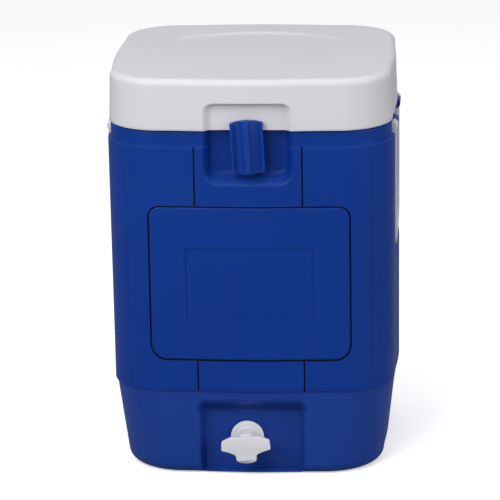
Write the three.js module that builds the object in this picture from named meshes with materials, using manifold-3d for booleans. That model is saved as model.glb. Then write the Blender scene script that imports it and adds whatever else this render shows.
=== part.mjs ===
// Insulated drink dispenser: a double-walled box with a rear-hinged lid, a quarter-turn lid latch,
// a clip-in front panel, two side carrying handles and a turning tap at the foot of the front.
// Millimetres, +Z up, front faces -Y, origin on the floor under the middle of the body.
import * as THREE from "three";
import { mergeVertices } from "three/addons/utils/BufferGeometryUtils.js";
import Module from "manifold-3d";

const wasm = await Module();
wasm.setup();

// ---------------------------------------------------------------- driving dimensions

// Overall body
const BODY_WIDTH = 383.4;
const BODY_DEPTH = 355;
const BASE_LINE_Z = 117;
const LEDGE_Z = 450;
const RIM_Z = 470;
const TOP_Z = 539;
const BASE_TAPER_X = 28;
const BASE_TAPER_Y = 5.4;
const SHELL_TAPER_X = 3;
const SHELL_TAPER_Y = 9.4;
const CORNER_RADIUS = 72;
const SHELL_CORNER_TAPER = 2;
const BASE_CORNER_RADIUS = 77;
const FRONT_BULGE = 4.6;
const SIDE_BULGE = 3.5;
const BASE_STEP = 2.6;
const BASE_FILLET = 14;
const LEDGE_FILLET = 2;
const NECK_INSET = 4;

// Walls and clearances
const WALL = 3;
const LINER_WALL = 2.5;
const FOAM = 24;
const GAP = 0.3;
const SPIGOT_HEIGHT = 9;
const FLANGE_THICKNESS = 2.8;
const FLOOR_FOAM = 24;
const LINER_FOOT_RADIUS = 8;
const OVERCUT = 1;

// Lid
const LID_GAP = 1.5;
const LID_OVERHANG = 2.7;
const LID_SIDE_INSET = 2.5;
const LID_EXTRA_BULGE = 1.4;
const LID_TAPER = 2;
const LID_FILLET = 9;
const LID_LIP = 3;
const LID_PLATE = 2.5;
const LID_PLATE_SETBACK = 0.5;
const LID_GASKET_WIDTH = 4.2;
const LID_GASKET_SETBACK = 0.8;
const PLUG_DEPTH = 12;
const PLUG_CLEARANCE = 2;
const PLUG_CHAMFER = 5;
const DISH_HALF_WIDTH = 116;
const DISH_FRONT_Y = -112;
const DISH_SIDE_Y = 75;
const DISH_REAR_Y = 121;
const DISH_DEPTH = 1.6;
const LID_RECESS_HALF_WIDTH = 48.3;
const LID_RECESS_DEPTH = 12;
const LID_RECESS_TOP_Z = 504;
const LID_RECESS_DRAFT = 9;
const LID_RECESS_RADIUS = 10;

// Latch and its recess
const LATCH_RECESS_HALF_WIDTH = 49;
const LATCH_RECESS_DEPTH = 20;
const LATCH_RECESS_FLOOR_Z = 414;
const LATCH_RECESS_DRAFT = 9;
const LATCH_RECESS_RAMP = 16;
const LATCH_RECESS_RADIUS = 12;
const LATCH_WIDTH = 42.4;
const LATCH_LENGTH = 71.4;
const LATCH_END_ARC = 4;
const LATCH_PIVOT_Z = 449.8;
const LATCH_RIM_DEPTH = 9;
const LATCH_RIM_WIDTH = 2;
const LATCH_SCOOP_DEPTH = 5;
const LATCH_SCOOP_RISE = 3;
const LATCH_RIB_WIDTH = 8;
const LATCH_RIB_DEPTH = 18;
const LATCH_RIB_CHAMFER = 1;
const LATCH_TILT = -2.7;
const LATCH_POST_RADIUS = 5;
const LATCH_POST_HEAD = 4;
const LATCH_BOSS_RADIUS = 12;
const LATCH_BACK_GAP = 0.8;

// Front panel and styling grooves
const PANEL_HALF_WIDTH = 130.4;
const PANEL_BOTTOM_Z = 161.8;
const PANEL_TOP_Z = 368.7;
const PANEL_TOP_RADIUS = 13.4;
const PANEL_BOTTOM_RADIUS = 20.5;
const PANEL_THICKNESS = 3.5;
const PANEL_GAP = 2.2;
const PANEL_PEG_RADIUS = 4;
const PANEL_PEG_LENGTH = 9;
const PANEL_PEG_ROOT = 4;
const PANEL_PEG_INSET = 26;
const LABEL_HALF_WIDTH = 84.2;
const LABEL_BOTTOM_Z = 218.3;
const LABEL_TOP_Z = 314.3;
const LABEL_DEPTH = 1.2;
const GROOVE_X = 70.1;
const GROOVE_WIDTH = 2;
const GROOVE_DEPTH = 1.5;

// Side handles
const POCKET_HALF_WIDTH = 86;
const POCKET_BOTTOM_Z = 288;
const POCKET_DEPTH = 17.5;
const POCKET_DRAFT = 5;
const POCKET_RADIUS = 24;
const POCKET_SPARE = 6;
const HANDLE_PIVOT_DROP = 13;
const HANDLE_EYE_RADIUS = 6.5;
const HANDLE_HALF_WIDTH = 83;
const HANDLE_ARM_WIDTH = 13;
const HANDLE_THICKNESS = 9;
const HANDLE_GRIP_HEIGHT = 30;
const HANDLE_LENGTH = 165;
const HANDLE_LEAN = 0.5;
const HANDLE_CORNER_RADIUS = 20;
const HANDLE_CHAMFER = 3;
const HANDLE_CLEARANCE = 4.8;
const HANDLE_SIDE_GAP = 2;
const HANDLE_PIN_RADIUS = 3;
const HANDLE_PIN_HEAD = 2.5;
const HANDLE_PIN_HEAD_THICKNESS = 2;
const HANDLE_PIN_SETBACK = 2;
const HANDLE_BOSS_LENGTH = 26;
const HANDLE_WEB_RISE = 5;

// Tap and its recess
const TAP_X = -7.5;
const TAP_Z = 48.5;
const TAP_RECESS_HALF_WIDTH = 62.3;
const TAP_RECESS_DEPTH = 29.5;
const TAP_RECESS_TOP_Z = 82;
const TAP_RECESS_DRAFT = 10.3;
const TAP_RECESS_RAMP = 30.8;
const TAP_RECESS_RADIUS = 12;
const TAP_RECESS_FOAM = 4;
const TAP_FLANGE_RADIUS = 22.1;
const TAP_FLANGE_THICKNESS = 4;
const TAP_GASKET_THICKNESS = 1.5;
const TAP_GASKET_SETBACK = 2;
const TAP_CHAMFER = 1.2;
const TAP_BARREL_RADIUS = 14;
const TAP_BARREL_LENGTH = 30;
const TAP_SHANK_RADIUS = 10;
const TAP_SHANK_BORE = 6;
const TAP_SHANK_SPARE = 4;
const TAP_PLUG_RADIUS = 9;
const TAP_PORT_RADIUS = 5;
const TAP_STUB_LENGTH = 4;
const TAP_O_RING_SETBACK = 4;
const TAP_O_RING_HALF = 0.9;
const TAP_O_RING_GROOVE = 1.5;
const TAP_SPOUT_RADIUS = 12.5;
const TAP_SPOUT_BORE = 8;
const TAP_SPOUT_DROP = 26.5;
const TAP_SPOUT_SETBACK = 0.5;
const TAP_NUT_RADIUS = 15;
const TAP_NUT_THICKNESS = 8;
const TAP_WASHER_THICKNESS = 2;
const TAP_WASHER_RADIUS = 14;
const TAP_HANDLE_SPAN = 65;
const TAP_HANDLE_TOP = 11.9;
const TAP_HANDLE_END = 11.8;
const TAP_HANDLE_CROWN_WIDTH = 40.3;
const TAP_HANDLE_SWEEP = 2.5;
const TAP_HANDLE_ROOT = 1;
const TAP_HANDLE_STEM_WIDTH = 26;
const TAP_HANDLE_STEM_DROP = 21;
const TAP_HANDLE_THICKNESS = 6.7;
const TAP_HANDLE_TILT = -2.5;

// Rear hinges
const HINGE_X = 75;
const HINGE_WIDTH = 46;
const HINGE_AXIS_OUT = 7.5;
const HINGE_KNUCKLE_RADIUS = 5;
const HINGE_PIN_RADIUS = 2.5;
const HINGE_KNUCKLE_WIDTH = 17;
const HINGE_LEAF_THICKNESS = 4.5;
const HINGE_LEAF_HEIGHT = 42;
const HINGE_LID_LEAF_HEIGHT = 32;
const HINGE_LEAF_GAP = 1.5;
const HINGE_KNUCKLE_GAP = 0.5;
const HINGE_WEB_OVERLAP = 4;
const HINGE_SCREW_RADIUS = 2;
const HINGE_SCREW_HEAD = 4;
const HINGE_SCREW_HEAD_RISE = 2.2;
const HINGE_SCREW_HEAD_RIM = 1;
const HINGE_SCREW_POINT = 3;
const HINGE_SCREW_LENGTH = 14;
const HINGE_SCREW_SPACING = 26;
const HINGE_SCREW_EDGE = 12;

// Facets
const CORNER_STEPS = 5;
const FILLET_STEPS = 3;
const LINER_FOOT_STEPS = 2;
const SIDE_STEPS = 2;
const ROUND_STEPS = 20;
const SMALL_ROUND_STEPS = 12;
const FAR = 300;

// ---------------------------------------------------------------- sizes worked out from them

const LID_BOTTOM_Z = RIM_Z + LID_GAP;
const FRONT_Y = -BODY_DEPTH / 2;
const REAR_Y = BODY_DEPTH / 2;
const LATCH_FLOOR_Y = FRONT_Y + LATCH_RECESS_DEPTH;
const LID_FRONT_Y = FRONT_Y - LID_OVERHANG;
const LID_RECESS_Y = LID_FRONT_Y + LID_RECESS_DEPTH;
const LATCH_BACK_Y = LID_RECESS_Y - LATCH_BACK_GAP;
const HANDLE_FLOOR_X = BODY_WIDTH / 2 - POCKET_DEPTH;
const HANDLE_PIVOT_X = HANDLE_FLOOR_X + HANDLE_EYE_RADIUS + HANDLE_CLEARANCE;
const HANDLE_PIVOT_Z = RIM_Z - HANDLE_PIVOT_DROP;
const FLANGE_Z = RIM_Z - FLANGE_THICKNESS;
const LINER_FLOOR_Z = WALL + FLOOR_FOAM;
const HINGE_Y = REAR_Y + HINGE_AXIS_OUT;
const HINGE_Z = RIM_Z;
const TAP_RECESS_Y = FRONT_Y + TAP_RECESS_DEPTH;
const SPIGOT_Z = BASE_LINE_Z + SPIGOT_HEIGHT;
const POCKET_GROW = WALL + GAP;

// ---------------------------------------------------------------- materials

const plastic = (name, color, roughness) =>
  new THREE.MeshStandardMaterial({ name, color, roughness, metalness: 0 });
const BLUE = plastic("blue_shell", 0x14378a, 0.42);
const WHITE = plastic("white_lid", 0xcbcad0, 0.45);
const LINER = plastic("white_liner", 0xe8e8ea, 0.4);
const TAP_WHITE = plastic("white_tap", 0xdcdbe0, 0.35);
const FOAM_CREAM = plastic("insulation_foam", 0xe2d6a8, 0.95);
const RUBBER = plastic("grey_rubber", 0x4a4a4c, 0.8);
const STEEL = new THREE.MeshStandardMaterial({
  name: "steel",
  color: 0xb9bcc0,
  roughness: 0.35,
  metalness: 1,
});

// ---------------------------------------------------------------- solids

// A closed geometry as a manifold solid.
function solidOf(geometry) {
  geometry.deleteAttribute("normal");
  geometry.deleteAttribute("uv");
  const merged = mergeVertices(geometry, 1e-4);
  const triVerts = [];
  for (let i = 0; i < merged.index.count; i += 3) {
    const [a, b, c] = merged.index.array.slice(i, i + 3);
    if (a !== b && b !== c && c !== a) triVerts.push(a, b, c);
  }
  return new wasm.Manifold(
    new wasm.Mesh({
      numProp: 3,
      vertProperties: merged.attributes.position.array,
      triVerts: new Uint32Array(triVerts),
    }),
  );
}

function geometryOf(solid) {
  const { vertProperties, triVerts } = solid.getMesh();
  const geometry = new THREE.BufferGeometry();
  geometry.setAttribute("position", new THREE.BufferAttribute(vertProperties, 3));
  geometry.setIndex(new THREE.BufferAttribute(triVerts, 1));
  geometry.computeVertexNormals();
  return geometry;
}

const join = (first, ...others) => others.reduce((sum, solid) => sum.add(solid), first);
const cut = (first, ...others) => others.reduce((rest, solid) => rest.subtract(solid), first);

// A rounded rectangle whose front and rear bow outwards by frontBulge and its ends by sideBulge.
const section = (halfWidth, halfDepth, radius, frontBulge = 0, sideBulge = 0) => ({
  halfWidth,
  halfDepth,
  radius,
  bulges: [sideBulge, frontBulge],
});

const inset = (s, distance) =>
  section(
    s.halfWidth - distance,
    s.halfDepth - distance,
    Math.max(s.radius - distance, 1),
    s.bulges[1],
    s.bulges[0],
  );

function outline({ halfWidth, halfDepth, radius, bulges }) {
  const flat = [halfWidth - bulges[0], halfDepth - bulges[1]];
  const points = [];
  for (let side = 0; side < 4; side++) {
    const turn = (side * Math.PI) / 2;
    const normal = new THREE.Vector2(Math.cos(turn), Math.sin(turn));
    const along = new THREE.Vector2(-normal.y, normal.x);
    const out = flat[side % 2];
    const bulge = bulges[side % 2];
    const half = flat[(side + 1) % 2] - radius;
    for (let i = 0; i <= SIDE_STEPS; i++) {
      const t = (2 * i) / SIDE_STEPS - 1;
      points.push(
        normal.clone().multiplyScalar(out + bulge * (1 - t * t)).addScaledVector(along, half * t),
      );
    }
    const centre = normal.clone().multiplyScalar(out - radius).addScaledVector(along, half);
    for (let i = 1; i < CORNER_STEPS; i++) {
      const angle = turn + (i / CORNER_STEPS) * (Math.PI / 2);
      points.push(
        new THREE.Vector2(Math.cos(angle), Math.sin(angle)).multiplyScalar(radius).add(centre),
      );
    }
  }
  return points;
}

// The points of a rounded edge from its flat side up, as [rise, setback] pairs.
const quarterRound = (radius, steps) =>
  Array.from({ length: steps + 1 }, (_, i) => {
    const angle = (i / steps) * (Math.PI / 2);
    return [radius * (1 - Math.cos(angle)), radius * (1 - Math.sin(angle))];
  });

// A solid through a stack of sections, given as [height, section] from the bottom up.
function loft(rings) {
  const loops = rings.map(([z, s]) => outline(s).map((p) => [p.x, p.y, z]));
  const count = loops[0].length;
  const positions = loops.flat();
  const triangles = [];
  for (let ring = 0; ring < loops.length - 1; ring++) {
    for (let i = 0; i < count; i++) {
      const a = ring * count + i;
      const b = ring * count + ((i + 1) % count);
      triangles.push(a, b, b + count, a, b + count, a + count);
    }
  }
  const last = (loops.length - 1) * count;
  for (let i = 1; i < count - 1; i++) {
    triangles.push(0, i + 1, i, last, last + i, last + i + 1);
  }
  const geometry = new THREE.BufferGeometry();
  geometry.setAttribute("position", new THREE.Float32BufferAttribute(positions.flat(), 3));
  geometry.setIndex(triangles);
  return solidOf(geometry);
}

// Turns a geometry that was built upwards (+Z) so that it points along an axis.
const TO_FRONT = new THREE.Matrix4().makeRotationX(Math.PI / 2);
const TO_RIGHT = new THREE.Matrix4().set(0, 0, 1, 0, 1, 0, 0, 0, 0, 1, 0, 0, 0, 0, 0, 1);

function box(xs, ys, zs) {
  const geometry = new THREE.BoxGeometry(xs[1] - xs[0], ys[1] - ys[0], zs[1] - zs[0]);
  geometry.translate((xs[0] + xs[1]) / 2, (ys[0] + ys[1]) / 2, (zs[0] + zs[1]) / 2);
  return solidOf(geometry);
}

// A turned piece: [radius, height] pairs from the bottom up, closed on its axis.
function turned(profile, steps = ROUND_STEPS) {
  const first = new THREE.Vector2(0, profile[0][1]);
  const last = new THREE.Vector2(0, profile[profile.length - 1][1]);
  const points = [first, ...profile.map(([r, z]) => new THREE.Vector2(r, z)), last];
  return new THREE.LatheGeometry(points, steps).rotateX(Math.PI / 2);
}

// Turned pieces whose axis runs along Y; heights are measured along -Y from the origin.
function turnedFront(profile, x, z, steps) {
  return solidOf(turned(profile, steps).applyMatrix4(TO_FRONT).translate(x, 0, z));
}

function rodAlongY(radius, y0, y1, x, z, steps) {
  return turnedFront([[radius, -Math.max(y0, y1)], [radius, -Math.min(y0, y1)]], x, z, steps);
}

function rodAlongX(radius, x0, x1, y, z, steps) {
  const rod = turned([[radius, x0], [radius, x1]], steps);
  return solidOf(rod.applyMatrix4(TO_RIGHT).translate(0, y, z));
}

function rodAlongZ(radius, z0, z1, x, y, steps) {
  return solidOf(turned([[radius, z0], [radius, z1]], steps).translate(x, y, 0));
}

// A flat outline drawn in X and Z, given thickness from y0 back to y1.
function plateXZ(shape, y0, y1, curveSegments = 4) {
  const depth = Math.abs(y1 - y0);
  const plate = new THREE.ExtrudeGeometry(shape, { depth, bevelEnabled: false, curveSegments });
  return plate.applyMatrix4(TO_FRONT).translate(0, Math.max(y0, y1), 0);
}

function roundedRectangle(halfWidth, bottom, top, bottomRadius, topRadius) {
  const shape = new THREE.Shape();
  shape.moveTo(bottomRadius - halfWidth, bottom);
  shape.lineTo(halfWidth - bottomRadius, bottom);
  shape.absarc(halfWidth - bottomRadius, bottom + bottomRadius, bottomRadius, -Math.PI / 2, 0);
  shape.lineTo(halfWidth, top - topRadius);
  shape.absarc(halfWidth - topRadius, top - topRadius, topRadius, 0, Math.PI / 2);
  shape.lineTo(topRadius - halfWidth, top);
  shape.absarc(topRadius - halfWidth, top - topRadius, topRadius, Math.PI / 2, Math.PI);
  shape.lineTo(-halfWidth, bottom + bottomRadius);
  shape.absarc(
    bottomRadius - halfWidth, bottom + bottomRadius, bottomRadius, Math.PI, Math.PI * 1.5,
  );
  return shape;
}

// A pocket cutter with drafted walls. It opens along +Z of its own frame: floor and mouth give
// the two ends as { halfWidth, bottom, top }, and the corners are rounded by radius.
function pocketCutter(floor, floorDepth, mouth, mouthDepth, radius) {
  const ring = ({ halfWidth, bottom, top }) => [
    section(halfWidth, (top - bottom) / 2, radius),
    (top + bottom) / 2,
  ];
  const [lowSection, lowMiddle] = ring(floor);
  const [highSection, highMiddle] = ring(mouth);
  const low = outline(lowSection).map((p) => [p.x, p.y + lowMiddle, floorDepth]);
  const high = outline(highSection).map((p) => [p.x, p.y + highMiddle, mouthDepth]);
  const count = low.length;
  const triangles = [];
  for (let i = 0; i < count; i++) {
    const j = (i + 1) % count;
    triangles.push(i, j, j + count, i, j + count, i + count);
  }
  for (let i = 1; i < count - 1; i++) {
    triangles.push(0, i + 1, i, count, count + i, count + i + 1);
  }
  const geometry = new THREE.BufferGeometry();
  geometry.setAttribute("position", new THREE.Float32BufferAttribute([...low, ...high].flat(), 3));
  geometry.setIndex(triangles);
  return geometry;
}

// ---------------------------------------------------------------- body sections

const bodySection = (halfWidth, halfDepth, radius) =>
  section(halfWidth, halfDepth, radius, FRONT_BULGE, SIDE_BULGE);
const ledgeSection = bodySection(BODY_WIDTH / 2, BODY_DEPTH / 2, CORNER_RADIUS);
const shellBottomSection = bodySection(
  (BODY_WIDTH - SHELL_TAPER_X) / 2,
  (BODY_DEPTH - SHELL_TAPER_Y) / 2,
  CORNER_RADIUS - SHELL_CORNER_TAPER,
);
const baseTopSection = inset(shellBottomSection, BASE_STEP);
const baseBottomSection = bodySection(
  baseTopSection.halfWidth - BASE_TAPER_X / 2,
  baseTopSection.halfDepth - BASE_TAPER_Y / 2,
  BASE_CORNER_RADIUS,
);
const linerTopSection = inset(ledgeSection, WALL + FOAM);
const linerBottomSection = bodySection(
  baseBottomSection.halfWidth - FOAM,
  -TAP_RECESS_Y - WALL - TAP_RECESS_FOAM,
  CORNER_RADIUS - FOAM - WALL,
);
const lidBottomSection = section(
  BODY_WIDTH / 2 - LID_SIDE_INSET,
  BODY_DEPTH / 2 + LID_OVERHANG,
  CORNER_RADIUS,
  FRONT_BULGE + LID_EXTRA_BULGE,
  SIDE_BULGE,
);
const lidTopSection = inset(lidBottomSection, LID_TAPER);

// The upper body inside its outer surface by depth, without the neck step.
const shellCore = (depth) =>
  loft([
    [BASE_LINE_Z - FAR / 10, inset(shellBottomSection, depth)],
    [BASE_LINE_Z, inset(shellBottomSection, depth)],
    [LEDGE_Z, inset(ledgeSection, depth)],
    [LEDGE_Z + FAR / 10, inset(ledgeSection, depth)],
  ]);

const shellOutside = (grow = 0) =>
  loft([
    [BASE_LINE_Z - grow, inset(shellBottomSection, -grow)],
    [LEDGE_Z - LEDGE_FILLET + grow, inset(ledgeSection, -grow)],
    [LEDGE_Z + grow, inset(ledgeSection, LEDGE_FILLET - grow)],
    [LEDGE_Z + grow, inset(ledgeSection, NECK_INSET - grow)],
    [RIM_Z + grow, inset(ledgeSection, NECK_INSET - grow)],
  ]);

const shellInside = () =>
  loft([
    [BASE_LINE_Z - OVERCUT, inset(shellBottomSection, WALL)],
    [LEDGE_Z - WALL, inset(ledgeSection, WALL)],
    [LEDGE_Z - WALL, inset(ledgeSection, NECK_INSET + WALL)],
    [RIM_Z + OVERCUT, inset(ledgeSection, NECK_INSET + WALL)],
  ]);

// ---------------------------------------------------------------- pockets
// Each pocket can be grown, to leave a wall or a clearance around it.

function latchPocket(grow) {
  const floor = {
    halfWidth: LATCH_RECESS_HALF_WIDTH + grow,
    bottom: LATCH_RECESS_FLOOR_Z - grow,
    top: RIM_Z + FAR,
  };
  const reach = LATCH_RECESS_DEPTH + POCKET_SPARE;
  const mouth = {
    halfWidth: floor.halfWidth + LATCH_RECESS_DRAFT * (reach / LATCH_RECESS_DEPTH),
    bottom: floor.bottom - LATCH_RECESS_RAMP * (reach / LATCH_RECESS_DEPTH),
    top: RIM_Z + FAR,
  };
  const depth = -LATCH_FLOOR_Y - grow;
  const cutter = pocketCutter(floor, depth, mouth, depth + reach, LATCH_RECESS_RADIUS);
  return solidOf(cutter.applyMatrix4(TO_FRONT));
}

function lidPocket(grow) {
  const floor = {
    halfWidth: LID_RECESS_HALF_WIDTH + grow,
    bottom: LID_BOTTOM_Z - FAR,
    top: LID_RECESS_TOP_Z + grow,
  };
  const reach = LID_RECESS_DEPTH + POCKET_SPARE;
  const mouth = {
    halfWidth: floor.halfWidth + LID_RECESS_DRAFT * (reach / LID_RECESS_DEPTH),
    bottom: LID_BOTTOM_Z - FAR,
    top: floor.top + (LID_RECESS_DRAFT / 2) * (reach / LID_RECESS_DEPTH),
  };
  const depth = -LID_RECESS_Y - grow;
  const cutter = pocketCutter(floor, depth, mouth, depth + reach, LID_RECESS_RADIUS);
  return solidOf(cutter.applyMatrix4(TO_FRONT));
}

function tapPocket(grow) {
  const floor = {
    halfWidth: TAP_RECESS_HALF_WIDTH + grow,
    bottom: -FAR,
    top: TAP_RECESS_TOP_Z + grow,
  };
  const reach = TAP_RECESS_DEPTH + POCKET_SPARE;
  const mouth = {
    halfWidth: floor.halfWidth + TAP_RECESS_DRAFT * (reach / TAP_RECESS_DEPTH),
    bottom: -FAR,
    top: floor.top + TAP_RECESS_RAMP * (reach / TAP_RECESS_DEPTH),
  };
  const depth = -TAP_RECESS_Y - grow;
  const cutter = pocketCutter(floor, depth, mouth, depth + reach, TAP_RECESS_RADIUS);
  const sill = box([-FAR, FAR], [-FAR, 0], [-2 * FAR, WALL - grow]);
  return cut(solidOf(cutter.applyMatrix4(TO_FRONT)), sill);
}

function handlePocket(side, grow) {
  const floor = {
    halfWidth: POCKET_HALF_WIDTH + grow,
    bottom: POCKET_BOTTOM_Z - grow,
    top: RIM_Z + FAR,
  };
  const reach = POCKET_DEPTH + POCKET_SPARE;
  const mouth = {
    halfWidth: floor.halfWidth + POCKET_DRAFT,
    bottom: floor.bottom - POCKET_DRAFT,
    top: RIM_Z + FAR,
  };
  const depth = HANDLE_FLOOR_X - grow;
  const cutter = pocketCutter(floor, depth, mouth, depth + reach, POCKET_RADIUS);
  cutter.applyMatrix4(TO_RIGHT);
  if (side < 0) cutter.rotateZ(Math.PI);
  return solidOf(cutter);
}

const panelShape = (grow) =>
  roundedRectangle(
    PANEL_HALF_WIDTH + grow,
    PANEL_BOTTOM_Z - grow,
    PANEL_TOP_Z + grow,
    PANEL_BOTTOM_RADIUS + grow,
    PANEL_TOP_RADIUS + grow,
  );

function panelPocket(grow) {
  const prism = solidOf(plateXZ(panelShape(PANEL_GAP + grow), 0, -FAR));
  return cut(prism, shellCore(PANEL_THICKNESS + GAP + grow));
}

const bodyPockets = (grow) => [
  latchPocket(grow),
  panelPocket(grow),
  handlePocket(1, grow),
  handlePocket(-1, grow),
];

// Places of the four pegs that hold the front panel.
const pegPlaces = [-1, 1].flatMap((side) => [
  [side * (PANEL_HALF_WIDTH - PANEL_PEG_INSET * 2), PANEL_BOTTOM_Z + PANEL_PEG_INSET],
  [side * (PANEL_HALF_WIDTH - PANEL_PEG_INSET * 2), PANEL_TOP_Z - PANEL_PEG_INSET],
]);
const pegY = FRONT_Y + PANEL_THICKNESS + FRONT_BULGE;
const pegs = (grow) =>
  pegPlaces.map(([x, z]) =>
    rodAlongY(
      PANEL_PEG_RADIUS + grow, pegY - PANEL_PEG_ROOT, pegY + PANEL_PEG_LENGTH + grow, x, z,
      SMALL_ROUND_STEPS,
    ),
  );

// Places of the hinge screws: the two leaves of each hinge take two screws each.
const hingePlaces = [-HINGE_X, HINGE_X];
const screwSides = [-HINGE_SCREW_SPACING / 2, HINGE_SCREW_SPACING / 2];
const bodyScrewZ = HINGE_Z - HINGE_LEAF_HEIGHT + HINGE_SCREW_EDGE;
const lidScrewZ = HINGE_Z + HINGE_LID_LEAF_HEIGHT - HINGE_SCREW_EDGE;
const screwFaceY = REAR_Y + HINGE_LEAF_THICKNESS;
const screwHoles = (z, grow) =>
  hingePlaces.flatMap((x) =>
    screwSides.map((dx) =>
      rodAlongY(
        HINGE_SCREW_RADIUS + grow,
        screwFaceY + OVERCUT,
        screwFaceY - HINGE_SCREW_LENGTH - grow,
        x + dx,
        z,
        SMALL_ROUND_STEPS,
      ),
    ),
  );

// ---------------------------------------------------------------- places along the tap

const tapGasketY = TAP_RECESS_Y - GAP;
const tapFlangeY = tapGasketY - TAP_GASKET_THICKNESS - GAP;
const tapBarrelY = tapFlangeY - TAP_FLANGE_THICKNESS;
const tapFrontY = tapBarrelY - TAP_BARREL_LENGTH;
const tapSpoutY = tapFrontY + TAP_SPOUT_RADIUS + TAP_SPOUT_SETBACK;
const tapSpoutZ = TAP_Z - TAP_SPOUT_DROP;
const plugBackY = tapSpoutY + TAP_SPOUT_RADIUS;
const oRingY = tapFrontY + TAP_O_RING_SETBACK;
const tapWasherY = -linerBottomSection.halfDepth + LINER_WALL + GAP;
const tapNutY = tapWasherY + TAP_WASHER_THICKNESS + GAP;
const shankEndY = tapNutY + TAP_NUT_THICKNESS + TAP_SHANK_SPARE;

const tapShankHole = (grow) =>
  rodAlongY(
    TAP_SHANK_RADIUS + grow, TAP_RECESS_Y - OVERCUT, shankEndY + OVERCUT, TAP_X, TAP_Z,
  );

// ---------------------------------------------------------------- body pieces

function baseMoulding() {
  const fillet = quarterRound(BASE_FILLET, FILLET_STEPS).map(([rise, setback]) => [
    rise,
    inset(baseBottomSection, setback),
  ]);
  const spigot = inset(shellBottomSection, WALL + GAP);
  const outside = loft([
    ...fillet,
    [BASE_LINE_Z - GAP, baseTopSection],
    [BASE_LINE_Z - GAP, spigot],
    [SPIGOT_Z, spigot],
  ]);
  const inside = loft([
    [WALL, inset(baseBottomSection, BASE_FILLET)],
    [BASE_FILLET, inset(baseBottomSection, WALL)],
    [BASE_LINE_Z - 2 * WALL, inset(baseTopSection, WALL)],
    [BASE_LINE_Z - WALL, inset(spigot, WALL)],
    [SPIGOT_Z + OVERCUT, inset(spigot, WALL)],
  ]);
  return cut(outside, tapPocket(0), cut(inside, tapPocket(WALL)), tapShankHole(GAP));
}

function grooves() {
  return [-GROOVE_X, GROOVE_X].map((x) => {
    const xs = [x - GROOVE_WIDTH / 2, x + GROOVE_WIDTH / 2];
    const slot = box(xs, [-FAR, 0], [-OVERCUT, LEDGE_Z + OVERCUT]);
    const panel = solidOf(plateXZ(panelShape(PANEL_GAP / 2), 0, -FAR));
    return cut(slot, shellCore(GROOVE_DEPTH), panel);
  });
}

// The lugs in a handle pocket that carry the handle's two pins.
function handleBosses(side) {
  const outer = HANDLE_HALF_WIDTH - HANDLE_ARM_WIDTH - HANDLE_SIDE_GAP;
  return [-1, 1].map((end) => {
    const ys = [end * (outer - HANDLE_BOSS_LENGTH), end * outer].sort((a, b) => a - b);
    const x = side * HANDLE_PIVOT_X;
    const xs = [side * (HANDLE_FLOOR_X - OVERCUT), x].sort((a, b) => a - b);
    const round = rodAlongY(HANDLE_EYE_RADIUS, ys[0], ys[1], x, HANDLE_PIVOT_Z);
    const web = box(xs, ys, [HANDLE_PIVOT_Z - HANDLE_EYE_RADIUS, HANDLE_PIVOT_Z + HANDLE_WEB_RISE]);
    return join(round, web);
  });
}

function handleBores(side, grow) {
  const inner = HANDLE_HALF_WIDTH - HANDLE_ARM_WIDTH - HANDLE_BOSS_LENGTH;
  return [-1, 1].map((end) =>
    rodAlongY(
      HANDLE_PIN_RADIUS + grow,
      end * (inner + HANDLE_PIN_SETBACK),
      end * (HANDLE_HALF_WIDTH + OVERCUT),
      side * HANDLE_PIVOT_X,
      HANDLE_PIVOT_Z,
      SMALL_ROUND_STEPS,
    ),
  );
}

function outerShell() {
  const hollow = cut(shellInside(), ...bodyPockets(WALL));
  const walls = cut(shellOutside(), ...bodyPockets(0), hollow, ...grooves());
  const boss = rodAlongY(
    LATCH_BOSS_RADIUS, LATCH_FLOOR_Y + OVERCUT, LATCH_BACK_Y + GAP, 0, LATCH_PIVOT_Z,
  );
  const post = rodAlongY(
    LATCH_POST_RADIUS + GAP, LATCH_FLOOR_Y + 2 * WALL, LATCH_BACK_Y - OVERCUT, 0, LATCH_PIVOT_Z,
    SMALL_ROUND_STEPS,
  );
  const whole = join(walls, boss, ...handleBosses(1), ...handleBosses(-1));
  return cut(
    whole,
    post,
    ...handleBores(1, GAP),
    ...handleBores(-1, GAP),
    ...pegs(GAP),
    ...screwHoles(bodyScrewZ, GAP),
  );
}

// The room behind the latch recess for the head of the latch post.
function latchPostRoom(grow) {
  return rodAlongY(
    LATCH_POST_RADIUS + LATCH_POST_HEAD + GAP + grow,
    LATCH_FLOOR_Y,
    LATCH_FLOOR_Y + 2 * (WALL + GAP) + GAP + grow,
    0,
    LATCH_PIVOT_Z,
  );
}

// The space inside the liner's outer surface by depth. It keeps clear of every recess around it.
function linerSolid(depth) {
  const foot = quarterRound(LINER_FOOT_RADIUS, LINER_FOOT_STEPS).map(([rise, setback]) => [
    LINER_FLOOR_Z + depth + rise,
    inset(linerBottomSection, depth + setback),
  ]);
  const grow = POCKET_GROW + depth;
  return cut(
    loft([...foot, [RIM_Z + POCKET_SPARE, inset(linerTopSection, depth)]]),
    latchPocket(grow),
    handlePocket(1, grow),
    handlePocket(-1, grow),
    tapPocket(grow),
    latchPostRoom(depth),
  );
}

const rimTrim = (z0, z1, distance) =>
  loft([
    [z0, inset(ledgeSection, distance)],
    [z1, inset(ledgeSection, distance)],
  ]);

function innerLiner() {
  const above = box([-FAR, FAR], [-FAR, FAR], [RIM_Z - FLANGE_THICKNESS / 2, TOP_Z]);
  const below = cut(linerSolid(0), above);
  const flange = cut(
    rimTrim(FLANGE_Z, RIM_Z, NECK_INSET + WALL + GAP),
    ...[latchPocket, (g) => handlePocket(1, g), (g) => handlePocket(-1, g)].map((p) =>
      p(POCKET_GROW),
    ),
  );
  return cut(join(below, flange), linerSolid(LINER_WALL), tapShankHole(GAP));
}

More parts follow.
